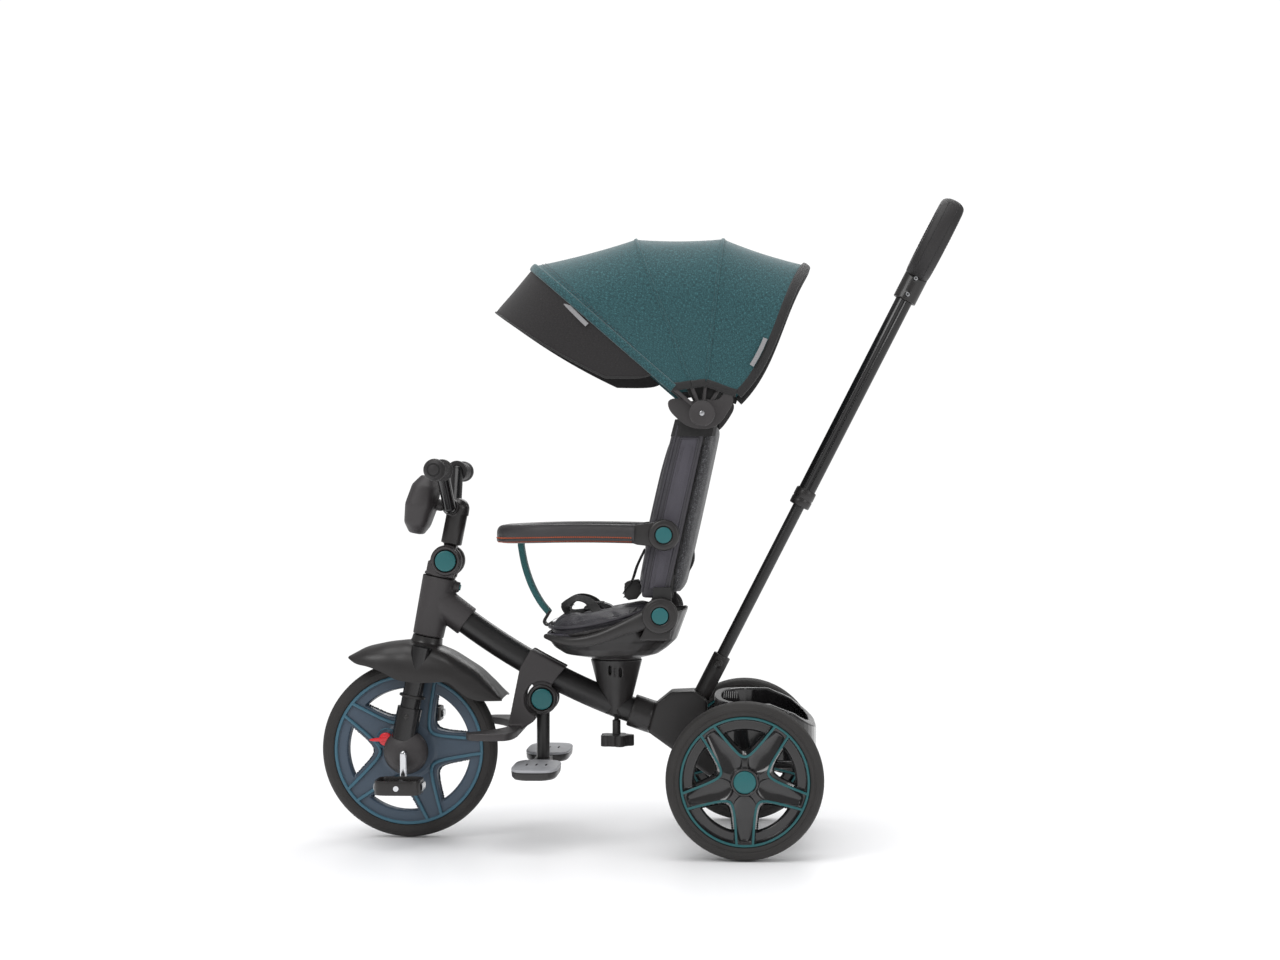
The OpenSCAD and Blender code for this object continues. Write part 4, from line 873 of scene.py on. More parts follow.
# sewn channels: two upright seams and three across, pulled in after the stuffing
flat = np.asarray(points) / mm
height = flat[:, 2] - recline[2]
frontness = smoothStep(-(flat[:, 0] - backFront(np.clip(height, 1, 320))) + 14, 0, 12)
channel = np.zeros(len(flat))
for y in (-64, 64):
    channel = np.maximum(channel, np.exp(-((flat[:, 1] - y) / 3.2) ** 2))
for h in (112, 190, 262):
    channel = np.maximum(channel, np.exp(-((height - h) / 3.2) ** 2) * (abs(flat[:, 1]) < 64))
flat[:, 0] += 4.5 * channel * frontness
backPad = addMesh("backPad", flat * mm, faces, darkLeather, "back", "leather", ("back_pad",), sharp=80, rounded=1)
for k, y in enumerate((-64, 64)):
    for j, d in enumerate((-3.2, 3.2)):
        path = [(backFront(h) - 2.6 - 0.5, y + d, recline[2] + h) for h in np.linspace(48, 304, 40)]
        stitchRun("backStitch%d%d" % (k, j), np.array(path) * mm, darkThread, "back", "leather", 5.0, 3.4, 1.0)

coverRows = [backRing(h, backPlan["padShare"] + 0.02, 1.0, -6.5 + (9 if h > 312 or h < 40 else 0) * 0.8, 0.0,
    power=3.4) for h in backPlan["rows"]]
points, faces, _ = skinGrid(coverRows, around=True, caps=True)
points, faces = swell(points * mm, faces, 5.0, 4.0, 4.0)
backCover = addMesh("backCover", points, faces, backMelange, "back", "melange", ("back_cover", "back_shell"),
    sharp=80, rounded=1)

# leather side gussets framed in piping, each beside a double row of stitches
gussetPlan = dict(front=0.20, rear=0.62, bottom=44, top=291, lift=9.4, boxIn=117, boxOut=130.6)
for tag, s in (("Near", -1), ("Far", 1)):
    g = gussetPlan
    y = s * (backPlan["half"] + g["lift"])
    spots = lambda f, h: (backFront(h) + (backRear(h) - backFront(h)) * f, y, recline[2] + h)
    rows = []
    for h in (28, 31, 36, 60, 120, 180, 240, 290, 312, 318, 321):
        pinch = 5.0 if h in (28, 321) else 1.5 if h in (31, 318) else 0
        a, b = backFront(h) + 4 + pinch, backFront(h) + (backRear(h) - backFront(h)) * 0.72 - pinch
        t = np.linspace(0, 2 * math.pi, 36, endpoint=False)
        c, d = np.cos(t), np.sin(t)
        wide = (g["boxOut"] - g["boxIn"]) / 2 - pinch * 0.7
        rows.append(np.stack([(a + b) / 2 + (b - a) / 2 * np.sign(c) * abs(c) ** 0.4,
            s * ((g["boxIn"] + g["boxOut"]) / 2 + wide * np.sign(d) * abs(d) ** 0.4), np.full(36, recline[2] + h)],
                1))
    points, faces, uv = skinGrid(rows, around=True, caps=True)
    addMesh("sideBolster" + tag, points * mm, faces, darkLeather, "back", "leather", sharp=80, rounded=1)
    rows = []
    for h in np.linspace(g["bottom"], g["top"], 24):
        swellOut = 2.2 * math.sin(math.pi * (h - g["bottom"]) / (g["top"] - g["bottom"])) ** 0.5
        rows.append([np.array(spots(f, h)) + (0, s * swellOut * math.sin(math.pi * (f - g["front"]) / (g["rear"] - g["front"])) ** 0.7, 0)
                     for f in np.linspace(g["front"], g["rear"], 9)])
    points, faces, uv = skinGrid(rows)
    gusset = addMesh("sideGusset" + tag, points * mm, faces, sideLeather, "back", "leather")
    thicken(gusset, 1.6)
    outline = [spots(g["front"], h) for h in np.linspace(g["bottom"], g["top"], 20)] + [spots(f,
        g["top"]) for f in np.linspace(g["front"], g["rear"], 8)[1:]] \
        + [spots(g["rear"], h) for h in np.linspace(g["top"], g["bottom"], 20)[1:]]
    cordTube("gussetPiping" + tag, roundedCorners(outline, 2, closed=False), 3.6, 3.6, darkLeather, "back",
        "leather")
    for k, inset in enumerate((0.075, 0.115)):
        path = [spots(g["front"] + inset, h) for h in np.linspace(g["bottom"] + 8, g["top"] - 10, 30)]
        path2 = [spots(g["rear"] - inset, h) for h in np.linspace(g["bottom"] + 8, g["top"] - 10, 30)]
        for j, line in enumerate((path, path2)):
            line = np.array(line) + (0, s * 1.6, 0)
            stitchRun("gussetStitch%s%d%d" % (tag, k, j), line * mm, darkThread, "back", "leather", 4.0, 2.8, 0.8)
    # front piping along the pad's edge
    path = [(backFront(h) + 4.5, s * 129, recline[2] + h) for h in np.linspace(38, 312, 40)]
    cordTube("frontPiping" + tag, path, 4.4, 4.4, darkLeather, "back", "leather")
    # ribbed webbing that wraps the top of the back under the hood bracket
    rows = []
    for h in np.linspace(294, 322, 10):
        a, b = backFront(h), backRear(h)
        rows.append([(a + (b - a) * f - (2.5 if f < 0.05 else 0),
            s * (backPlan["half"] + 11.2 - 14 * max(abs(f - 0.5) - 0.42, 0) * 8),
                recline[2] + h) for f in np.linspace(-0.02, 0.99, 14)])
    points, faces, uv = skinGrid(rows)
    wrap = addMesh("topWrap" + tag, points * mm, faces, blackWebbing, "back", "webbing", uv=np.asarray(uv) * mm,
        uvName="tapeRun")
    thicken(wrap, 1.8)

# hook-and-loop tab at the lower rear of the back
tabRows = [[(backRear(h) + 3.0 + 5 * math.sin(math.pi * (h - 64) / 40), y, recline[2] + h) for y in np.linspace(-34,
    34, 12)] for h in np.linspace(64, 104, 10)]
points, faces, uv = skinGrid(tabRows)
tab = addMesh("rearTab", points * mm, faces, blackWebbing, "back", "webbing", uv=np.asarray(uv) * mm,
    uvName="tapeRun")
thicken(tab, 5.0)

# shoulder straps: padded covers over webbing, lying on the pad
for tag, s in (("Near", -1), ("Far", 1)):
    rows = []
    for k, h in enumerate(np.linspace(104, 286, 40)):
        puff = 4.6 * min(1, math.sin(math.pi * k / 39) ** 0.4 + 0.1)
        x = backFront(h) - 6.0 - puff
        rows.append([(x + puff * abs(t) ** 2.4 + 1.5, s * (36 + 13 * t), recline[2] + h) for t in np.linspace(-1, 1,
            9)])
    points, faces, uv = skinGrid(rows)
    cover = addMesh("shoulderPad" + tag, points * mm, faces, darkLeather, "back", "webbing")
    thicken(cover, 4.0)
    path = smoothLine([(backFront(108) - 8, s * 36, recline[2] + 106),
        (backFront(80) - 16, s * 33, recline[2] + 78), (backFront(52) - 20, s * 27, recline[2] + 52),
            (backFront(34) - 30, s * 18, recline[2] + 33)], 24)
    cordTube("shoulderTape" + tag, path, 19, 2.2, blackWebbing, "back", "webbing", power=6)
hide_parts("shoulder_harness")
print("backrest padded")

cushionPlan = dict(x0=-152, x1=44, half=127, low=332, top=368)


def levelRing(x0, x1, half, z, power=2.8, slope=0.0, n=56):
    t = np.linspace(0, 2 * math.pi, n, endpoint=False)
    c, s = np.cos(t), np.sin(t)
    x = (x0 + x1) / 2 + (x1 - x0) / 2 * np.sign(c) * abs(c) ** (2 / power)
    y = half * np.sign(s) * abs(s) ** (2 / power)
    lift = slope * np.clip((x - x0) / (x1 - x0), 0, 1) ** 1.8
    return np.stack([x, y, z + lift], 1)


p = cushionPlan
cushionRows = [levelRing(p["x0"] + 12, p["x1"] - 26, p["half"] - 14, p["low"], 2.8, 8),
               levelRing(p["x0"] + 3, p["x1"] - 8, p["half"] - 4, p["low"] + 14, 3.0, 16),
               levelRing(p["x0"] + 1, p["x1"] - 4, p["half"] - 2, p["low"] + 26, 3.0, 22),
               levelRing(p["x0"] + 3, p["x1"] - 6, p["half"] - 4, p["low"] + 34, 3.0, 24),
               levelRing(p["x0"] + 12, p["x1"] - 14, p["half"] - 14, p["low"] + 42, 2.8, 24),
               levelRing(p["x0"] + 40, p["x1"] - 36, p["half"] - 44, p["low"] + 46, 2.6, 20)]
points, faces, _ = skinGrid(cushionRows, around=True, caps=True)
points, faces = swell(points * mm, faces, 5.0, 4.0, 6.0)
flat = np.asarray(points) / mm
upness = smoothStep(flat[:, 2], p["low"] + 30, p["low"] + 40)
channel = np.zeros(len(flat))
for y in (-62, 62):
    channel = np.maximum(channel, np.exp(-((flat[:, 1] - y) / 3.2) ** 2))
for x in (-96, -30):
    channel = np.maximum(channel, np.exp(-((flat[:, 0] - x) / 3.2) ** 2) * (abs(flat[:, 1]) < 62))
flat[:, 2] -= 4.0 * channel * upness
seatPad = addMesh("seatPad", flat * mm, faces, darkLeather, "seat", "leather", ("seat_cushion",), sharp=80,
    rounded=1)
# two thick piped bands round the cushion, sweeping up to the back
for k, (z, grow, slope, width) in enumerate(((p["low"] + 17, 2.5, 34, 7.5), (p["low"] + 30, 1.5, 44, 6.0))):
    ring = levelRing(p["x0"] - grow + 2, p["x1"] + 4, p["half"] + grow - 1, z, 3.0, slope, 96)
    cordTube("seatPiping%d" % (k + 1), ring, width, width, darkLeather if k else sideLeather, "seat", "leather",
        closed=True, side=(0, 0, 1))
ring = levelRing(p["x0"] + 5, p["x1"] - 4, p["half"] - 5, p["low"] + 38.5, 3.0, 34, 140)
stitchRun("seatStitch", ring * mm, darkThread, "seat", "leather", 4.4, 3.0, 0.9)

# waist webbing in loose loops, and its buckle
seatTop = p["low"] + 52
for tag, s in (("Near", -1), ("Far", 1)):
    path = smoothLine([(-4, s * 104, seatTop + 8), (-22, s * 92, seatTop + 1), (-46, s * 74, seatTop - 1),
        (-68, s * 58, seatTop + 4),
                       (-84, s * 44, seatTop + 20), (-104, s * 36, seatTop + 25), (-122, s * 32, seatTop + 14),
                           (-118, s * 28, seatTop - 1), (-96, s * 22, seatTop - 1), (-76, s * 14, seatTop + 4)], 60)
    cordTube("waistStrap" + tag, path, 2.0, 20, blackWebbing, "seat", "webbing", power=6, side=(0.2, s * 0.5, 0.85))
plate("harnessBuckle", roundedCorners([(-96, seatTop + 1), (-52, seatTop + 2), (-44, seatTop + 8),
    (-52, seatTop + 14), (-70, seatTop + 18), (-94, seatTop + 12)], 2), -19, 19,
               glossPlastic, "seat", bevel=2.4, cad=("lap_harness",))
plate("buckleButton", roundedCorners([(-84, seatTop + 12), (-62, seatTop + 15), (-60, seatTop + 19),
    (-82, seatTop + 17)], 1), -9, 9, casingPlastic, "seat", bevel=1.2)
# ribbed block at the foot of the back
ribs = []
for k in range(5):
    x = -24 + 5.2 * k
    ribs += [(x, 403 + 22 - 1.5 * k), (x + 3.2, 403 + 36 - 2.0 * k), (x + 3.8, 403 + 22 - 1.5 * k)]
plate("crotchBlock", roundedCorners([(-25, 404), (2, 408), (3, 440), (-22, 437), (-26, 430)], 1), -24, 24,
    blackPlastic, "seat", bevel=2.0)
for k in range(5):
    cordTube("crotchRib%d" % k, [(-26.2 + 0.4 * k, y, 410 + 5.6 * k) for y in np.linspace(-22, 22, 6)], 1.8, 2.2,
        blackPlastic, "seat", "plastic", side=(1, 0, 0))
print("seat padded")

# ---- moulded seat shell: rounded copy, with the swept arm that carries the hinge
softenedCopy("seat_shell", "seatShell", blackPlastic, 1.8, 14)
softenedCopy("recline_brackets", "hingeHousings", blackPlastic, 1.3, 8)
armPlan = dict(path=[(-150, 348), (-128, 344), (-96, 342), (-58, 350), (-18, 366), (16, 378), (40, 384)],
    tall=(9, 14, 18, 20, 24, 34, 46))
for tag, s in (("Near", -1), ("Far", 1)):
    line = smoothLine([(x, s * y, z) for (x, z), y in zip(armPlan["path"], (92, 118, 134, 140, 143, 145, 145))], 48)
    tall = np.interp(np.linspace(0, 1, 48), np.linspace(0, 1, 7), armPlan["tall"])
    rows = carried(line, ovalSection(1, 1, 20, 2.4), side=(0, 1, 0))
    section = ovalSection(1, 1, 20, 2.4)
    run = np.gradient(line, axis=0)
    run /= np.linalg.norm(run, axis=1)[:, None]
    rows = []
    for q, t, w in zip(line, run, tall):
        sideways = np.array((0, 1, 0)) - t[1] * t
        sideways /= np.linalg.norm(sideways)
        upward = np.cross(sideways, t)
        rows.append(q + section[:, :1] * 15 * sideways + section[:, 1:2] * w * upward)
    points, faces, uv = skinGrid(rows, around=True, caps=True)
    addMesh("seatArm" + tag, points * mm, faces, blackPlastic, "seat", "plastic", sharp=60)
    y = s * 157.6
    ringRows = turned(roundedCorners([(17.5, 0), (19, s * 3.2), (27, s * 2.8), (29.5, s * 0.2), (29.8, -s * 8),
        (17.5, -s * 8)], 2) * mm, (recline[0] * mm, y * mm, recline[2] * mm), 96)
    addMesh("hingeCollar" + tag, *skinGrid(ringRows, around=True, along=True)[:2], blackPlastic, "seat", "plastic",
        sharp=60)
    discButton("reclineButton" + tag, recline[[0, 2]], 13.6, s * 155, s * 161.4, tealPlastic, "seat", "teal",
        ("recline_button",) if s < 0 else (), dish=0.5)

# ---- safety bar: leatherette cover with an orange sewn band, and its swivel bosses
guard = jointAt["guard_tilt"] / mm
barPlan = dict(front=-223, half=146, bend=92, wide=30, tall=31, arch=3.0, coverFrom=-2)


def barLine(count=160, grow=0.0, back=None):
    p = barPlan
    b = p["bend"]
    q = np.linspace(0, math.pi / 2, 16)
    x1 = p["coverFrom"] if back is None else back
    side = [(x, -p["half"] - grow) for x in np.linspace(x1, p["front"] + b, 12)[:-1]]
    side += [(p["front"] + b - (b + grow) * math.sin(t), -p["half"] + b - (b + grow) * math.cos(t)) for t in q]
    side += [(p["front"] - grow, y) for y in np.linspace(-p["half"] + b, 0, 4)[1:]]
    side = np.array(side)
    whole = evenLine(np.vstack([side, side[::-1][1:] * (1, -1)]), count)
    z = guard[2] + p["arch"] * np.sin(np.clip((guard[0] - whole[:, 0]) / (guard[0] - p["front"]), 0, 1) * math.pi)
    return np.stack([whole[:, 0], whole[:, 1], z], 1)


cover = cordTube("barCover", barLine(), barPlan["tall"], barPlan["wide"], barLeather, "guard", "leather",
    side=(0, 0, 1), cad=("guard_cover",), power=2.5, n=28)
for k, (dz, grow) in enumerate(((-6.2, 14.7), (-12.6, 12.6))):
    line = barLine(400, grow, -6)
    line[:, 2] += dz
    stitchRun("barStitch%d" % (k + 1), line * mm, orangeThread, "guard", "leather", 3.6, 3.0, 2.8)
band = barLine(220, 13.9, -6)
band[:, 2] -= 9.6
cordTube("barBand", band, 5.0, 2.4, barLeather, "guard", "leather", side=(0, 0, 1), power=3)
for tag, s in (("Near", -1), ("Far", 1)):
    plate("barArm" + tag, roundedCorners([(-14, 504), (30, 499), (52, 496), (66, 508), (68, 520), (60, 536),
        (44, 541), (20, 537), (-14, 533)], 2), s * 137, s * 155.4, blackPlastic, "guard", bevel=3.0)
    ringRows = turned(roundedCorners([(14.5, 0), (16, s * 2.6), (23, s * 2.0), (25.6, -s * 0.6), (26, -s * 9),
        (14.5, -s * 9)], 2) * mm, (guard[0] * mm, s * 157.6 * mm, guard[2] * mm), 96)
    addMesh("barCollar" + tag, *skinGrid(ringRows, around=True, along=True)[:2], blackPlastic, "guard", "plastic",
        sharp=60)
    discButton("barButton" + tag, guard[[0, 2]], 13.4, s * 153, s * 160, tealPlastic, "guard", "teal",
        ("guard_button",) if s < 0 else (), dish=0.5)
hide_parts("guard_bar")

# crotch strap of teal webbing, bowed, with its clip at the seat
strapPath = smoothLine([(-203, 0, 505), (-202, 0, 492), (-196, 0, 462), (-185, 0, 430), (-170, 0, 402),
    (-155, 0, 383)], 40)
cordTube("crotchStrap", strapPath, 26, 11.0, tealWebbing, "strap", "teal_webbing", cad=("crotch_strap",), power=5)
loop = smoothLine([(-153, 0, 386), (-158, 0, 378), (-163, 0, 368), (-158, 0, 362), (-150, 0, 366)], 24)
cordTube("strapClip", loop, 30, 5.0, blackPlastic, "seat", "plastic", power=4)
print("safety bar and strap made")


# ---- steering head, bars and front fork

# part, its new name, finish, voxel in mm, smoothing rounds
softened = (
    ("head_casing", "headCasing", casingPlastic, 1.3, 8),
    ("steering_column", "foldClevis", casingPlastic, 1.2, 7),
    ("stem", "stemElbow", blackPlastic, 1.2, 8),
    ("peg_bracket", "pegSaddle", casingPlastic, 1.2, 6),
    ("seat_pedestal", "seatPedestal", blackPlastic, 1.4, 4),
    ("footrest", "footrestCradle", casingPlastic, 1.6, 7),
    ("rear_casing", "rearCasing", blackPlastic, 1.9, 12),
    ("rear_tray", "rearTray", glossPlastic, 1.5, 10),
    ("push_socket", "pushSocket", blackPlastic, 1.1, 5),
    ("push_clamp", "pushClamp", blackPlastic, 1.1, 5),
    ("seat_knob", "seatKnob", blackPlastic, 0.9, 5),
    ("sound_pod", "toyPod", casingPlastic, 1.4, 26),
)
for row in softened:
    softenedCopy(*row)
print("moulded parts rounded over")


# a stack of round sections along any line: profile points are (distance along, radius)
def latheAlong(name, origin, direction, profile, finish, body, slotName, cad=(), steps=64, wave=None):
    origin, direction = np.asarray(origin, float), np.asarray(direction, float)
    direction /= np.linalg.norm(direction)
    u = np.cross(direction, (0.0, 1.0, 0.0)) if abs(direction[1]) < 0.9 else np.array((1.0, 0.0, 0.0))
    u /= np.linalg.norm(u)
    v = np.cross(direction, u)
    t = np.linspace(0, 2 * math.pi, steps, endpoint=False)
    rows = []
    for s, r in profile:
        rr = r * np.ones(steps) if wave is None else wave(s, r, t)
        rows.append(origin + s * direction + rr[:, None] * (np.cos(t)[:, None] * u + np.sin(t)[:, None] * v))
    points, faces, uv = skinGrid(rows, around=True, caps=True)
    return addMesh(name, points * mm, faces, finish, body, slotName, cad, sharp=45)


tilt = math.radians(11.3)
wheelAt = jointAt["front_wheel_spin"] / mm
columnDown = np.array((-math.sin(tilt), 0, -math.cos(tilt)))


def onSteering(x, y, s):
    base = np.array((wheelAt[0] - 8, 0, wheelAt[2]))
    return base + np.array((math.cos(tilt) * x + math.sin(tilt) * s, y, -math.sin(tilt) * x + math.cos(tilt) * s))


# fender: one thin moulded skin, long nose in front, deep skirt over the fork
fenderPlan = dict(half=66.5, wall=3.0,
                  top=[(-492, 309), (-466, 323), (-428, 331), (-391, 335), (-358, 331), (-320, 316), (-272, 286),
                      (-245, 258), (-230, 240)],
                  skirt=[(-492, 307), (-479, 298), (-455, 294), (-432, 286), (-408, 272), (-376, 267), (-345, 268),
                      (-320, 270), (-290, 244), (-270, 237), (-230, 237)])
p = fenderPlan
fenderX = np.concatenate([np.linspace(-492, -470, 8), np.linspace(-466, -252, 60), np.linspace(-249, -230, 8)])
topZ, skirtZ = [np.interp(fenderX, *np.array(p[k], float).T) for k in ("top", "skirt")]
for _ in range(5):
    topZ[1:-1] = (topZ[:-2] + 2 * topZ[1:-1] + topZ[2:]) / 4
    skirtZ[1:-1] = (skirtZ[:-2] + 2 * skirtZ[1:-1] + skirtZ[2:]) / 4
arch = np.linspace(0, math.pi, 41)
rows = []
for x, a, b in zip(fenderX, topZ, skirtZ):
    along01 = (x - fenderX[0]) / (fenderX[-1] - fenderX[0])
    half = p["half"] * (1 - (0.38 if along01 < 0.5 else 0.12) * abs(2 * along01 - 1) ** 5)
    rows.append(np.stack([np.full(41, x), half * np.sign(np.cos(arch)) * abs(np.cos(arch)) ** 0.62,
        b + (a - b) * abs(np.sin(arch)) ** 0.7], 1))
points, faces, uv = skinGrid(rows)
fenderSkin = addMesh("fenderSkin", points * mm, faces, blackPlastic, bodyOf["fender"], "plastic", ("fender",),
    sharp=70)
thicken(fenderSkin, p["wall"], "wall", offset=0)
latheAlong("fenderNeck", onSteering(0, 0, 192), columnDown,
    [(-4, 12), (-3.4, 25.6), (4, 26.4), (9, 28), (13, 31), (17, 35), (19, 36)], blackPlastic, bodyOf["fender"],
        "plastic", steps=72)
latheAlong("stemCrown", (-311.5, 0, 550), (0.16, 0, 1),
    [(0, 18.2)] + [(18.0 * math.sin(a) + 10, 18.2 * math.cos(a)) for a in np.linspace(0, 1.5, 12)], blackPlastic,
        bodyOf["stem"], "plastic", steps=56)

# soft grips with ball ends, flanges and ribs round them
gripPlan = dict(inner=92, outer=204, barR=15.0, ballR=18.4)
gripAt = (np.array(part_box("grips")[0]) + np.array(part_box("grips")[1])) / 2 / mm
for tag, s in (("Near", -1), ("Far", 1)):
    g = gripPlan
    line = [(g["inner"], 11.5), (g["inner"], 17.5), (g["inner"] + 3, 18.6), (g["inner"] + 6, 17.5),
        (g["inner"] + 7, 14.5)]
    for k in range(11):
        y = g["inner"] + 9 + k * 7.2
        line += [(y, g["barR"] + 0.6), (y + 3.4, g["barR"] + 0.9), (y + 4.6, g["barR"] - 0.9),
            (y + 6.0, g["barR"] - 0.9)]
    last = g["outer"] - g["ballR"]
    line += [(last + g["ballR"] * math.sin(a), g["ballR"] * math.cos(a)) for a in np.linspace(-0.45, 1.5, 16)]
    latheAlong("grip" + tag, gripAt * (1, 0, 1), (0, s, 0), line, gripRubber, "handlebar", "grip",
        ("grips",) if s < 0 else ())

# teal push buttons at the folding joint and the foot pegs, in raised collars
for name, node, body in (("foldButton", "fold_button", "fold_latch"), ("pegButton", "peg_button", "peg_latch")):
    c = middle(node) / mm
    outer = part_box(node)[0][1] / mm
    discButton(name, c[[0, 2]], 17.6, outer + 6, outer, tealPlastic, body, "teal", (node,), dish=0.6)
collarOutline = ((18.9, 0), (19.6, 1.6), (22, 2.2), (24.4, 1.0), (25.2, -2), (25.2, -6), (18.9, -6))
for side in (-1, 1):
    for tag, at, body, y in (("Fold", jointAt["handlebar_fold"] / mm, "handlebar", 30.2),
        ("Peg", jointAt["peg_fold"] / mm, "frame", 26.2)):
        outline = [(r, side * rise) for r, rise in collarOutline]
        ringRows = turned(roundedCorners(outline, 2) * mm, (at[0] * mm, side * y * mm, at[2] * mm), 96)
        addMesh("buttonCollar%s%s" % (tag, "Near" if side < 0 else "Far"),
            *skinGrid(ringRows, around=True, along=True)[:2], blackPlastic, body, "plastic", sharp=60)

# fork sleeve rivets and a moulded parting line on the hub covers
for tag, s in (("Near", -1), ("Far", 1)):
    at = onSteering(0, s * 71.2, 62)
    latheAlong("forkRivet" + tag, at, (0, s, 0), [(-2, 4.2), (0, 4.2), (0.8, 3.6), (1.2, 1.5), (1.2, 0.1)],
        blackPlastic, "steering", "plastic_grey", steps=24)
    ring = [(wheelAt[0] + 37.3 * math.cos(t), s * 50, wheelAt[2] + 37.3 * math.sin(t)) for t in np.linspace(0,
        2 * math.pi, 72, endpoint=False)]
    cordTube("hubSeam" + tag, ring, 1.4, 1.4, innerDark, "steering", "plastic_grey", closed=True)
    latheAlong("sleeveLip" + tag, onSteering(0, s * 50, 96), columnDown,
        [(-2.0, 20.4), (-1.4, 21.8), (1.4, 21.9), (2.2, 20.6)], blackPlastic, "steering", "plastic_grey")

# clutch lever: a round red knob with a flat blade, in its ring
leverPlan = dict(at=(-429, 170), knobR=11.2, y=(-34, -44.2))
p = leverPlan
discButton("clutchKnob", p["at"], p["knobR"], p["y"][0], p["y"][1], redPlastic, "lever", "red", ("clutch_lever",),
    dish=0.8)
plate("clutchBlade", roundedCorners([(-456, 166.5), (-424, 166), (-416, 168), (-416, 173), (-426, 174),
    (-456, 171)], 2), -38.5, -46.0, redPlastic, "lever", bevel=1.0)
ring = [(p["at"][0] + 16.4 * math.cos(t), -30.6, p["at"][1] + 16.4 * math.sin(t)) for t in np.linspace(0,
    2 * math.pi, 56, endpoint=False)]
cordTube("clutchRing", ring, 2.2, 2.2, rimLine, "steering", "plastic_grey", closed=True)

# pedals: an open rounded band with bars across and a reflector at each end
for node, body in (("pedal_left", "pedal_left"), ("pedal_right", "pedal_right")):
    lo, hi = [np.array(q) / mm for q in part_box(node)]
    c = (lo + hi) / 2
    hx, hy = (hi[0] - lo[0]) / 2 - 3, (hi[1] - lo[1]) / 2 - 3
    t = np.linspace(0, 2 * math.pi, 80, endpoint=False)
    band = np.stack([c[0] + hx * np.sign(np.cos(t)) * abs(np.cos(t)) ** 0.42,
        c[1] + hy * np.sign(np.sin(t)) * abs(np.sin(t)) ** 0.42, np.full(80, c[2])], 1)
    tag = "Left" if node == "pedal_left" else "Right"
    cordTube("pedalBand" + tag, band, 24, 5.4, blackPlastic, body, "plastic", closed=True, side=(0, 0, 1),
        cad=(node,), power=5)
    latheAlong("pedalBarrel" + tag, (c[0], c[1] - hy, c[2]), (0, 1, 0),
        [(0, 7.6), (1, 8.2), (2 * hy - 1, 8.2), (2 * hy, 7.6)], blackPlastic, body, "plastic", steps=32)
    for k, dx in enumerate((-24, -13, 13, 24)):
        cordTube("pedalRib%s%d" % (tag, k), [(c[0] + dx, y, c[2] - 2) for y in np.linspace(c[1] - hy + 1,
            c[1] + hy - 1, 8)], 3.0, 16, blackPlastic, body, "plastic", side=(1, 0, 0), power=4)
    for k, dx in enumerate((-1, 1)):
        plateAt = c[0] + dx * (hx + 3.4)
        rows = [[(plateAt + dx * 1.2 * (1 - abs(v) ** 3), c[1] + 15 * u, c[2] + 6.0 * v) for u in np.linspace(-1, 1,
            12)] for v in np.linspace(-1, 1, 6)]
        points, faces, uv = skinGrid(rows)
        piece = addMesh("pedalReflector%s%d" % (tag, k), points * mm, faces, reflectorGrey, body, "pad_grey")
        thicken(piece, 1.6)
print("front end detailed")

# ---- foot pegs: dark boat-shaped bases under pale ribbed tops, their pale grey a painted reflection of the white room
pegPoints = np.array([v.co for v in cadNodes["peg_pads"].data.vertices]) / mm
for tag, s in (("Near", -1), ("Far", 1)):
    own = pegPoints[pegPoints[:, 1] * s > 0]
    lo, hi = own.min(0), own.max(0)
    c = (lo + hi) / 2
    hx, hy = (hi[0] - lo[0]) / 2, (hi[1] - lo[1]) / 2
    def ringAt(grow, z, n=64):
        t = np.linspace(0, 2 * math.pi, n, endpoint=False)
        return np.stack([c[0] + (hx + grow) * np.sign(np.cos(t)) * abs(np.cos(t)) ** 0.55,
            c[1] + (hy + grow) * np.sign(np.sin(t)) * abs(np.sin(t)) ** 0.55, np.full(n, z)], 1)
    base = [ringAt(-9, lo[2]), ringAt(-4, lo[2] + 1.2), ringAt(-1.2, lo[2] + 5), ringAt(-0.4, hi[2] - 6),
        ringAt(-0.6, hi[2] - 4.8), ringAt(-2, hi[2] - 4.6)]
    addMesh("pegBase" + tag, *[q * mm if k == 0 else q for k,
        q in enumerate(skinGrid(base, around=True, caps=True)[:2])], blackPlastic, "foot_pegs", "plastic",
            ("peg_pads",) if s < 0 else (), sharp=60)
    # pale ribbed top: its pale grey is a painted reflection of the white room
    top = [ringAt(-2, hi[2] - 5.0), ringAt(-0.4, hi[2] - 4.2), ringAt(-0.2, hi[2] - 1.6), ringAt(-1.4, hi[2] - 0.4),
        ringAt(-4, hi[2])]
    addMesh("pegTread" + tag, *[q * mm if k == 0 else q for k,
        q in enumerate(skinGrid(top, around=True, caps=True)[:2])], pegTopReflectGrey, "foot_pegs", "pad_grey", sharp=60)
    for k, dx in enumerate((-16, 0, 16)):
        cordTube("pegSlot%s%d" % (tag, k), [(c[0] + dx, y, hi[2] + 0.2) for y in np.linspace(c[1] - 9, c[1] + 9,
            8)], 3.0, 1.2, innerDark, "foot_pegs", "plastic", side=(1, 0, 0), power=3)

# ---- push bar: grooved upper tube, collar, clamp screws and the soft loop
lean = math.radians(27.1)
barUp = np.array((math.sin(lean), 0, math.cos(lean)))
barBase = np.array((100.0, 0, 233.0))
pushPlan = dict(tubeFrom=373, tubeTo=806, groove=2.0, collar=30)


def grooved(s, r, t):
    notch = np.exp(-((np.abs(np.sin(t)) - 1) / 0.02) ** 2) + 0.6 * np.exp(-((np.abs(np.cos(t)) - 1) / 0.02) ** 2)
    return r - pushPlan["groove"] * notch


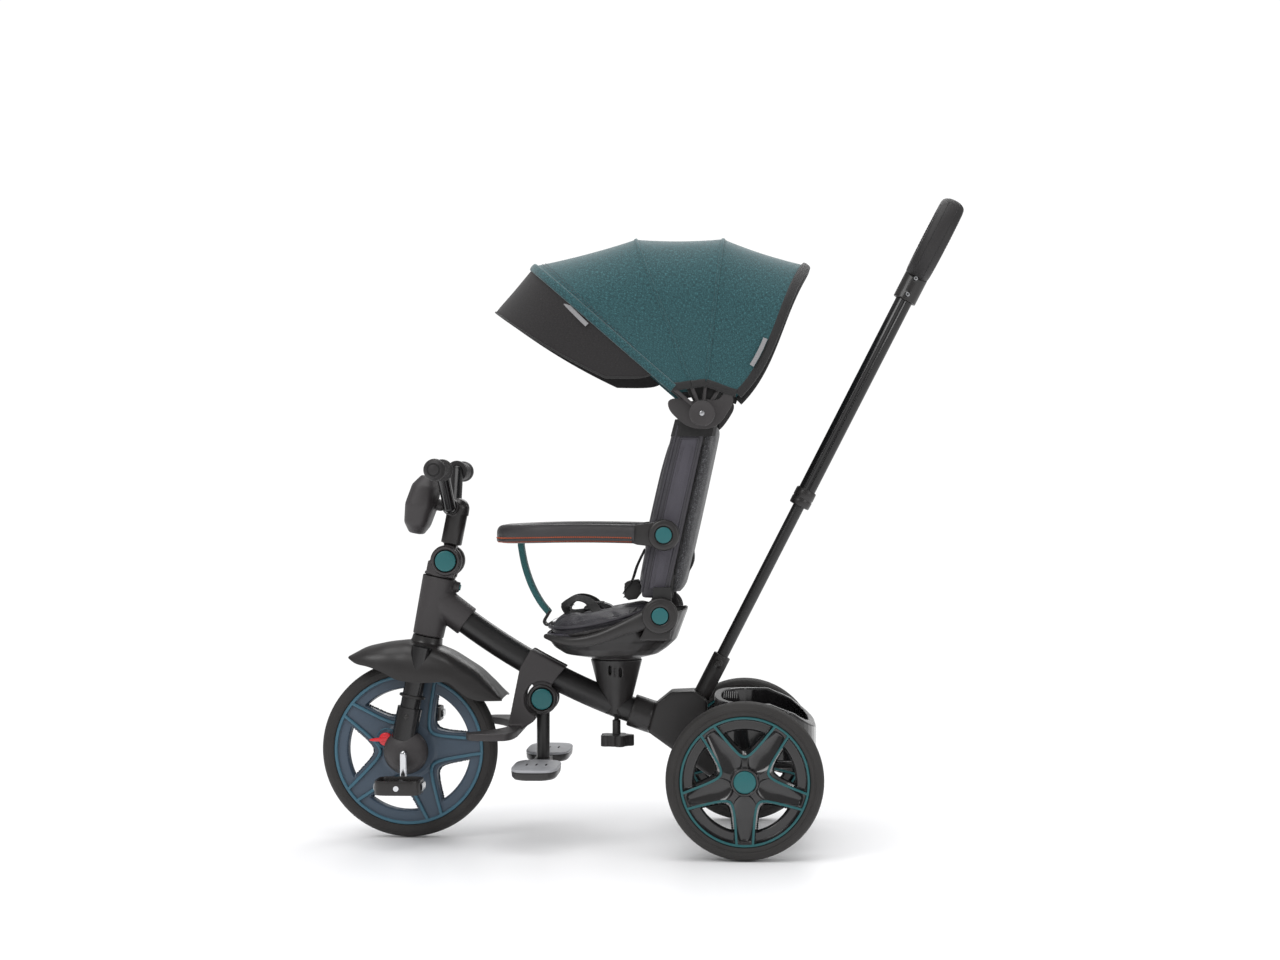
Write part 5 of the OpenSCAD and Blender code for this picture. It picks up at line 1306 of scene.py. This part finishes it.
p = pushPlan
latheAlong("pushUpperTube", barBase, barUp,
    [(p["tubeFrom"] + 2, 14.2), (p["tubeFrom"] + 3, 15)] + [(s, 15) for s in np.linspace(p["tubeFrom"] + 6,
        p["tubeTo"] - 2, 16)] + [(p["tubeTo"], 14.6)],
           glossTube, "push_handle", "tube", ("push_upper_tube",), steps=120, wave=grooved)
latheAlong("pushCollar", barBase, barUp, [(p["tubeFrom"] - 1, 11), (p["tubeFrom"] - 0.4, 16.6),
    (p["tubeFrom"] + 1.4, 17.8), (p["tubeFrom"] + 12, 18.0), (p["tubeFrom"] + 13, 17.2),
        (p["tubeFrom"] + 14.4, 17.2), (p["tubeFrom"] + 15.4, 18.0),
                                            (p["tubeFrom"] + p["collar"] - 2, 17.8), (p["tubeFrom"] + p["collar"],
                                                16.4), (p["tubeFrom"] + p["collar"] + 0.2, 15.1)], blackPlastic,
                                                    "push_handle", "plastic")
for k, s in enumerate((773, 803)):
    for tag, side in (("Near", -1), ("Far", 1)):
        at = barBase + barUp * s + np.array((0, side * 23.6, 0))
        latheAlong("clampScrew%s%d" % (tag, k), at, (0, side, 0),
            [(-2, 3.6), (0.4, 3.6), (1.0, 3.0), (1.0, 1.6), (-0.2, 1.4), (-0.2, 0.1)], screwSteel, "push_handle",
                "chrome", steps=24)
loopAt = barBase + barUp * 877
loopRows = []
for t in np.linspace(0, 2 * math.pi, 144, endpoint=False):
    outward = math.cos(t) * barUp + math.sin(t) * np.array((0, 1, 0))
    across = np.array((math.cos(lean), 0, -math.sin(lean)))
    q = ovalSection(1, 1, 28, 2.3)
    ribs = 0.5 * math.cos(t * 72) if abs(math.sin(t / 2)) < 0.78 else 0.0
    loopRows.append(loopAt + (62 + q[:, :1] * (26 + ribs)) * outward + q[:, 1:2] * (41 + ribs) * across)
points, faces, uv = skinGrid(loopRows, around=True, along=True)
addMesh("handleLoop", points * mm, faces, gripRubber, "push_handle", "grip", ("handle_loop",), sharp=70)
for k, offset in enumerate((-1, 1)):
    ring = [loopAt + (62 + 11.8) * (math.cos(t) * barUp + math.sin(t) * np.array((0, 1,
        0))) + offset * 9.4 * np.array((math.cos(lean), 0, -math.sin(lean))) for t in np.linspace(0, 2 * math.pi,
            96, endpoint=False)]
    cordTube("loopSeam%d" % k, ring, 1.2, 1.2, innerDark, "push_handle", "grip", closed=True,
        side=tuple(np.array((math.cos(lean), 0, -math.sin(lean)))))
latheAlong("socketButton", barBase + barUp * 70 + np.array((0, -19.0, 0)), (0, -1, 0),
    [(-1, 4.4), (0.8, 4.4), (1.6, 3.4), (1.8, 0.1)], blackPlastic, "frame", "plastic", steps=24)
# row of anti-slip teeth at the tray's front inner corner
trayLo, trayHi = [np.array(q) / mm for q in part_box("rear_tray")]
for k in range(7):
    x = trayLo[0] + 16 + 3.6 * k
    cordTube("trayTooth%d" % k, [(x, -60 + 20 * j, trayHi[2] - 2.0 - 0.1 * k) for j in range(7)], 1.6, 3.2,
        blackPlastic, "frame", "plastic", side=(1, 0, 0), power=3)
print("push bar, pegs and tray detailed")


# ---- floor and light

floorPlan = dict(half=30.0, gloss=0.3, fade=(0.7, 1.9))
floorMaterial, floorTree, floorShader = startFinish("paleStudioFloor")
floorPlace = addNode(floorTree, "ShaderNodeTexCoord").outputs["Object"]
floorCloud = addNode(floorTree, "ShaderNodeTexNoise", inputs={"Vector": floorPlace, "Scale": 1.5, "Detail": 3.0})
floorTone = addNode(floorTree, "ShaderNodeMix", {"data_type": "RGBA"},
    {0: floorCloud.outputs[0], 6: hexLinear("#f2f2f4"), 7: hexLinear("#f7f7f8")})
floorTree.links.new(floorTone.outputs[2], floorShader.inputs["Base Color"])
floorShader.inputs["Roughness"].default_value = floorPlan["gloss"]
# the floor runs out into the bright backdrop a few metres away
floorReach = addNode(floorTree, "ShaderNodeVectorMath", {"operation": "LENGTH"}, {0: floorPlace})
floorFade = addNode(floorTree, "ShaderNodeMapRange", {"interpolation_type": "SMOOTHSTEP"},
    {"Value": floorReach.outputs["Value"], "From Min": floorPlan["fade"][0], "From Max": floorPlan["fade"][1]})
floorBackdrop = addNode(floorTree, "ShaderNodeEmission", inputs={"Color": hexLinear("#ffffff"), "Strength": 1.05})
floorBlend = addNode(floorTree, "ShaderNodeMixShader",
    inputs={0: floorFade.outputs[0], 1: floorShader.outputs[0], 2: floorBackdrop.outputs[0]})
floorOut = next(n for n in floorTree.nodes if n.type == "OUTPUT_MATERIAL")
floorTree.links.new(floorBlend.outputs[0], floorOut.inputs["Surface"])
bpy.ops.mesh.primitive_plane_add(size=2 * floorPlan["half"], location=(0, 0, -0.0006))
floor = bpy.context.object
floor.name = "studioFloor"
floor.data.materials.append(floorMaterial)

world = bpy.data.worlds.new("paleRoom")
bpy.context.scene.world = world
world.use_nodes = True
roomTree = world.node_tree
mirrored = addNode(roomTree, "ShaderNodeLightPath").outputs["Is Glossy Ray"]
level = addNode(roomTree, "ShaderNodeMapRange", inputs={"Value": mirrored, "To Min": 1.05, "To Max": 0.34})
roomTree.nodes["Background"].inputs[0].default_value = hexLinear("#ffffff")
roomTree.links.new(level.outputs[0], roomTree.nodes["Background"].inputs[1])
softboxes = dict(key=((-1.8, -2.4, 2.8), 1.6, 42), fill=((2.6, -2.0, 1.4), 1.2, 14),
    rear=((0.4, 2.8, 2.6), 2.0, 40), top=((0.0, -0.1, 3.4), 2.4, 40))
for name, (at, size, power) in softboxes.items():
    lamp = bpy.data.objects.new(name + "Softbox", bpy.data.lights.new(name + "Softbox", "AREA"))
    bpy.context.scene.collection.objects.link(lamp)
    lamp.data.size = size
    lamp.data.energy = power
    lamp.location = at
    lamp.rotation_euler = (Vector((0, 0, 0.5)) - Vector(at)).to_track_quat("-Z", "Y").to_euler()
bpy.context.scene.view_settings.view_transform = "Standard"
print("floor and light set")
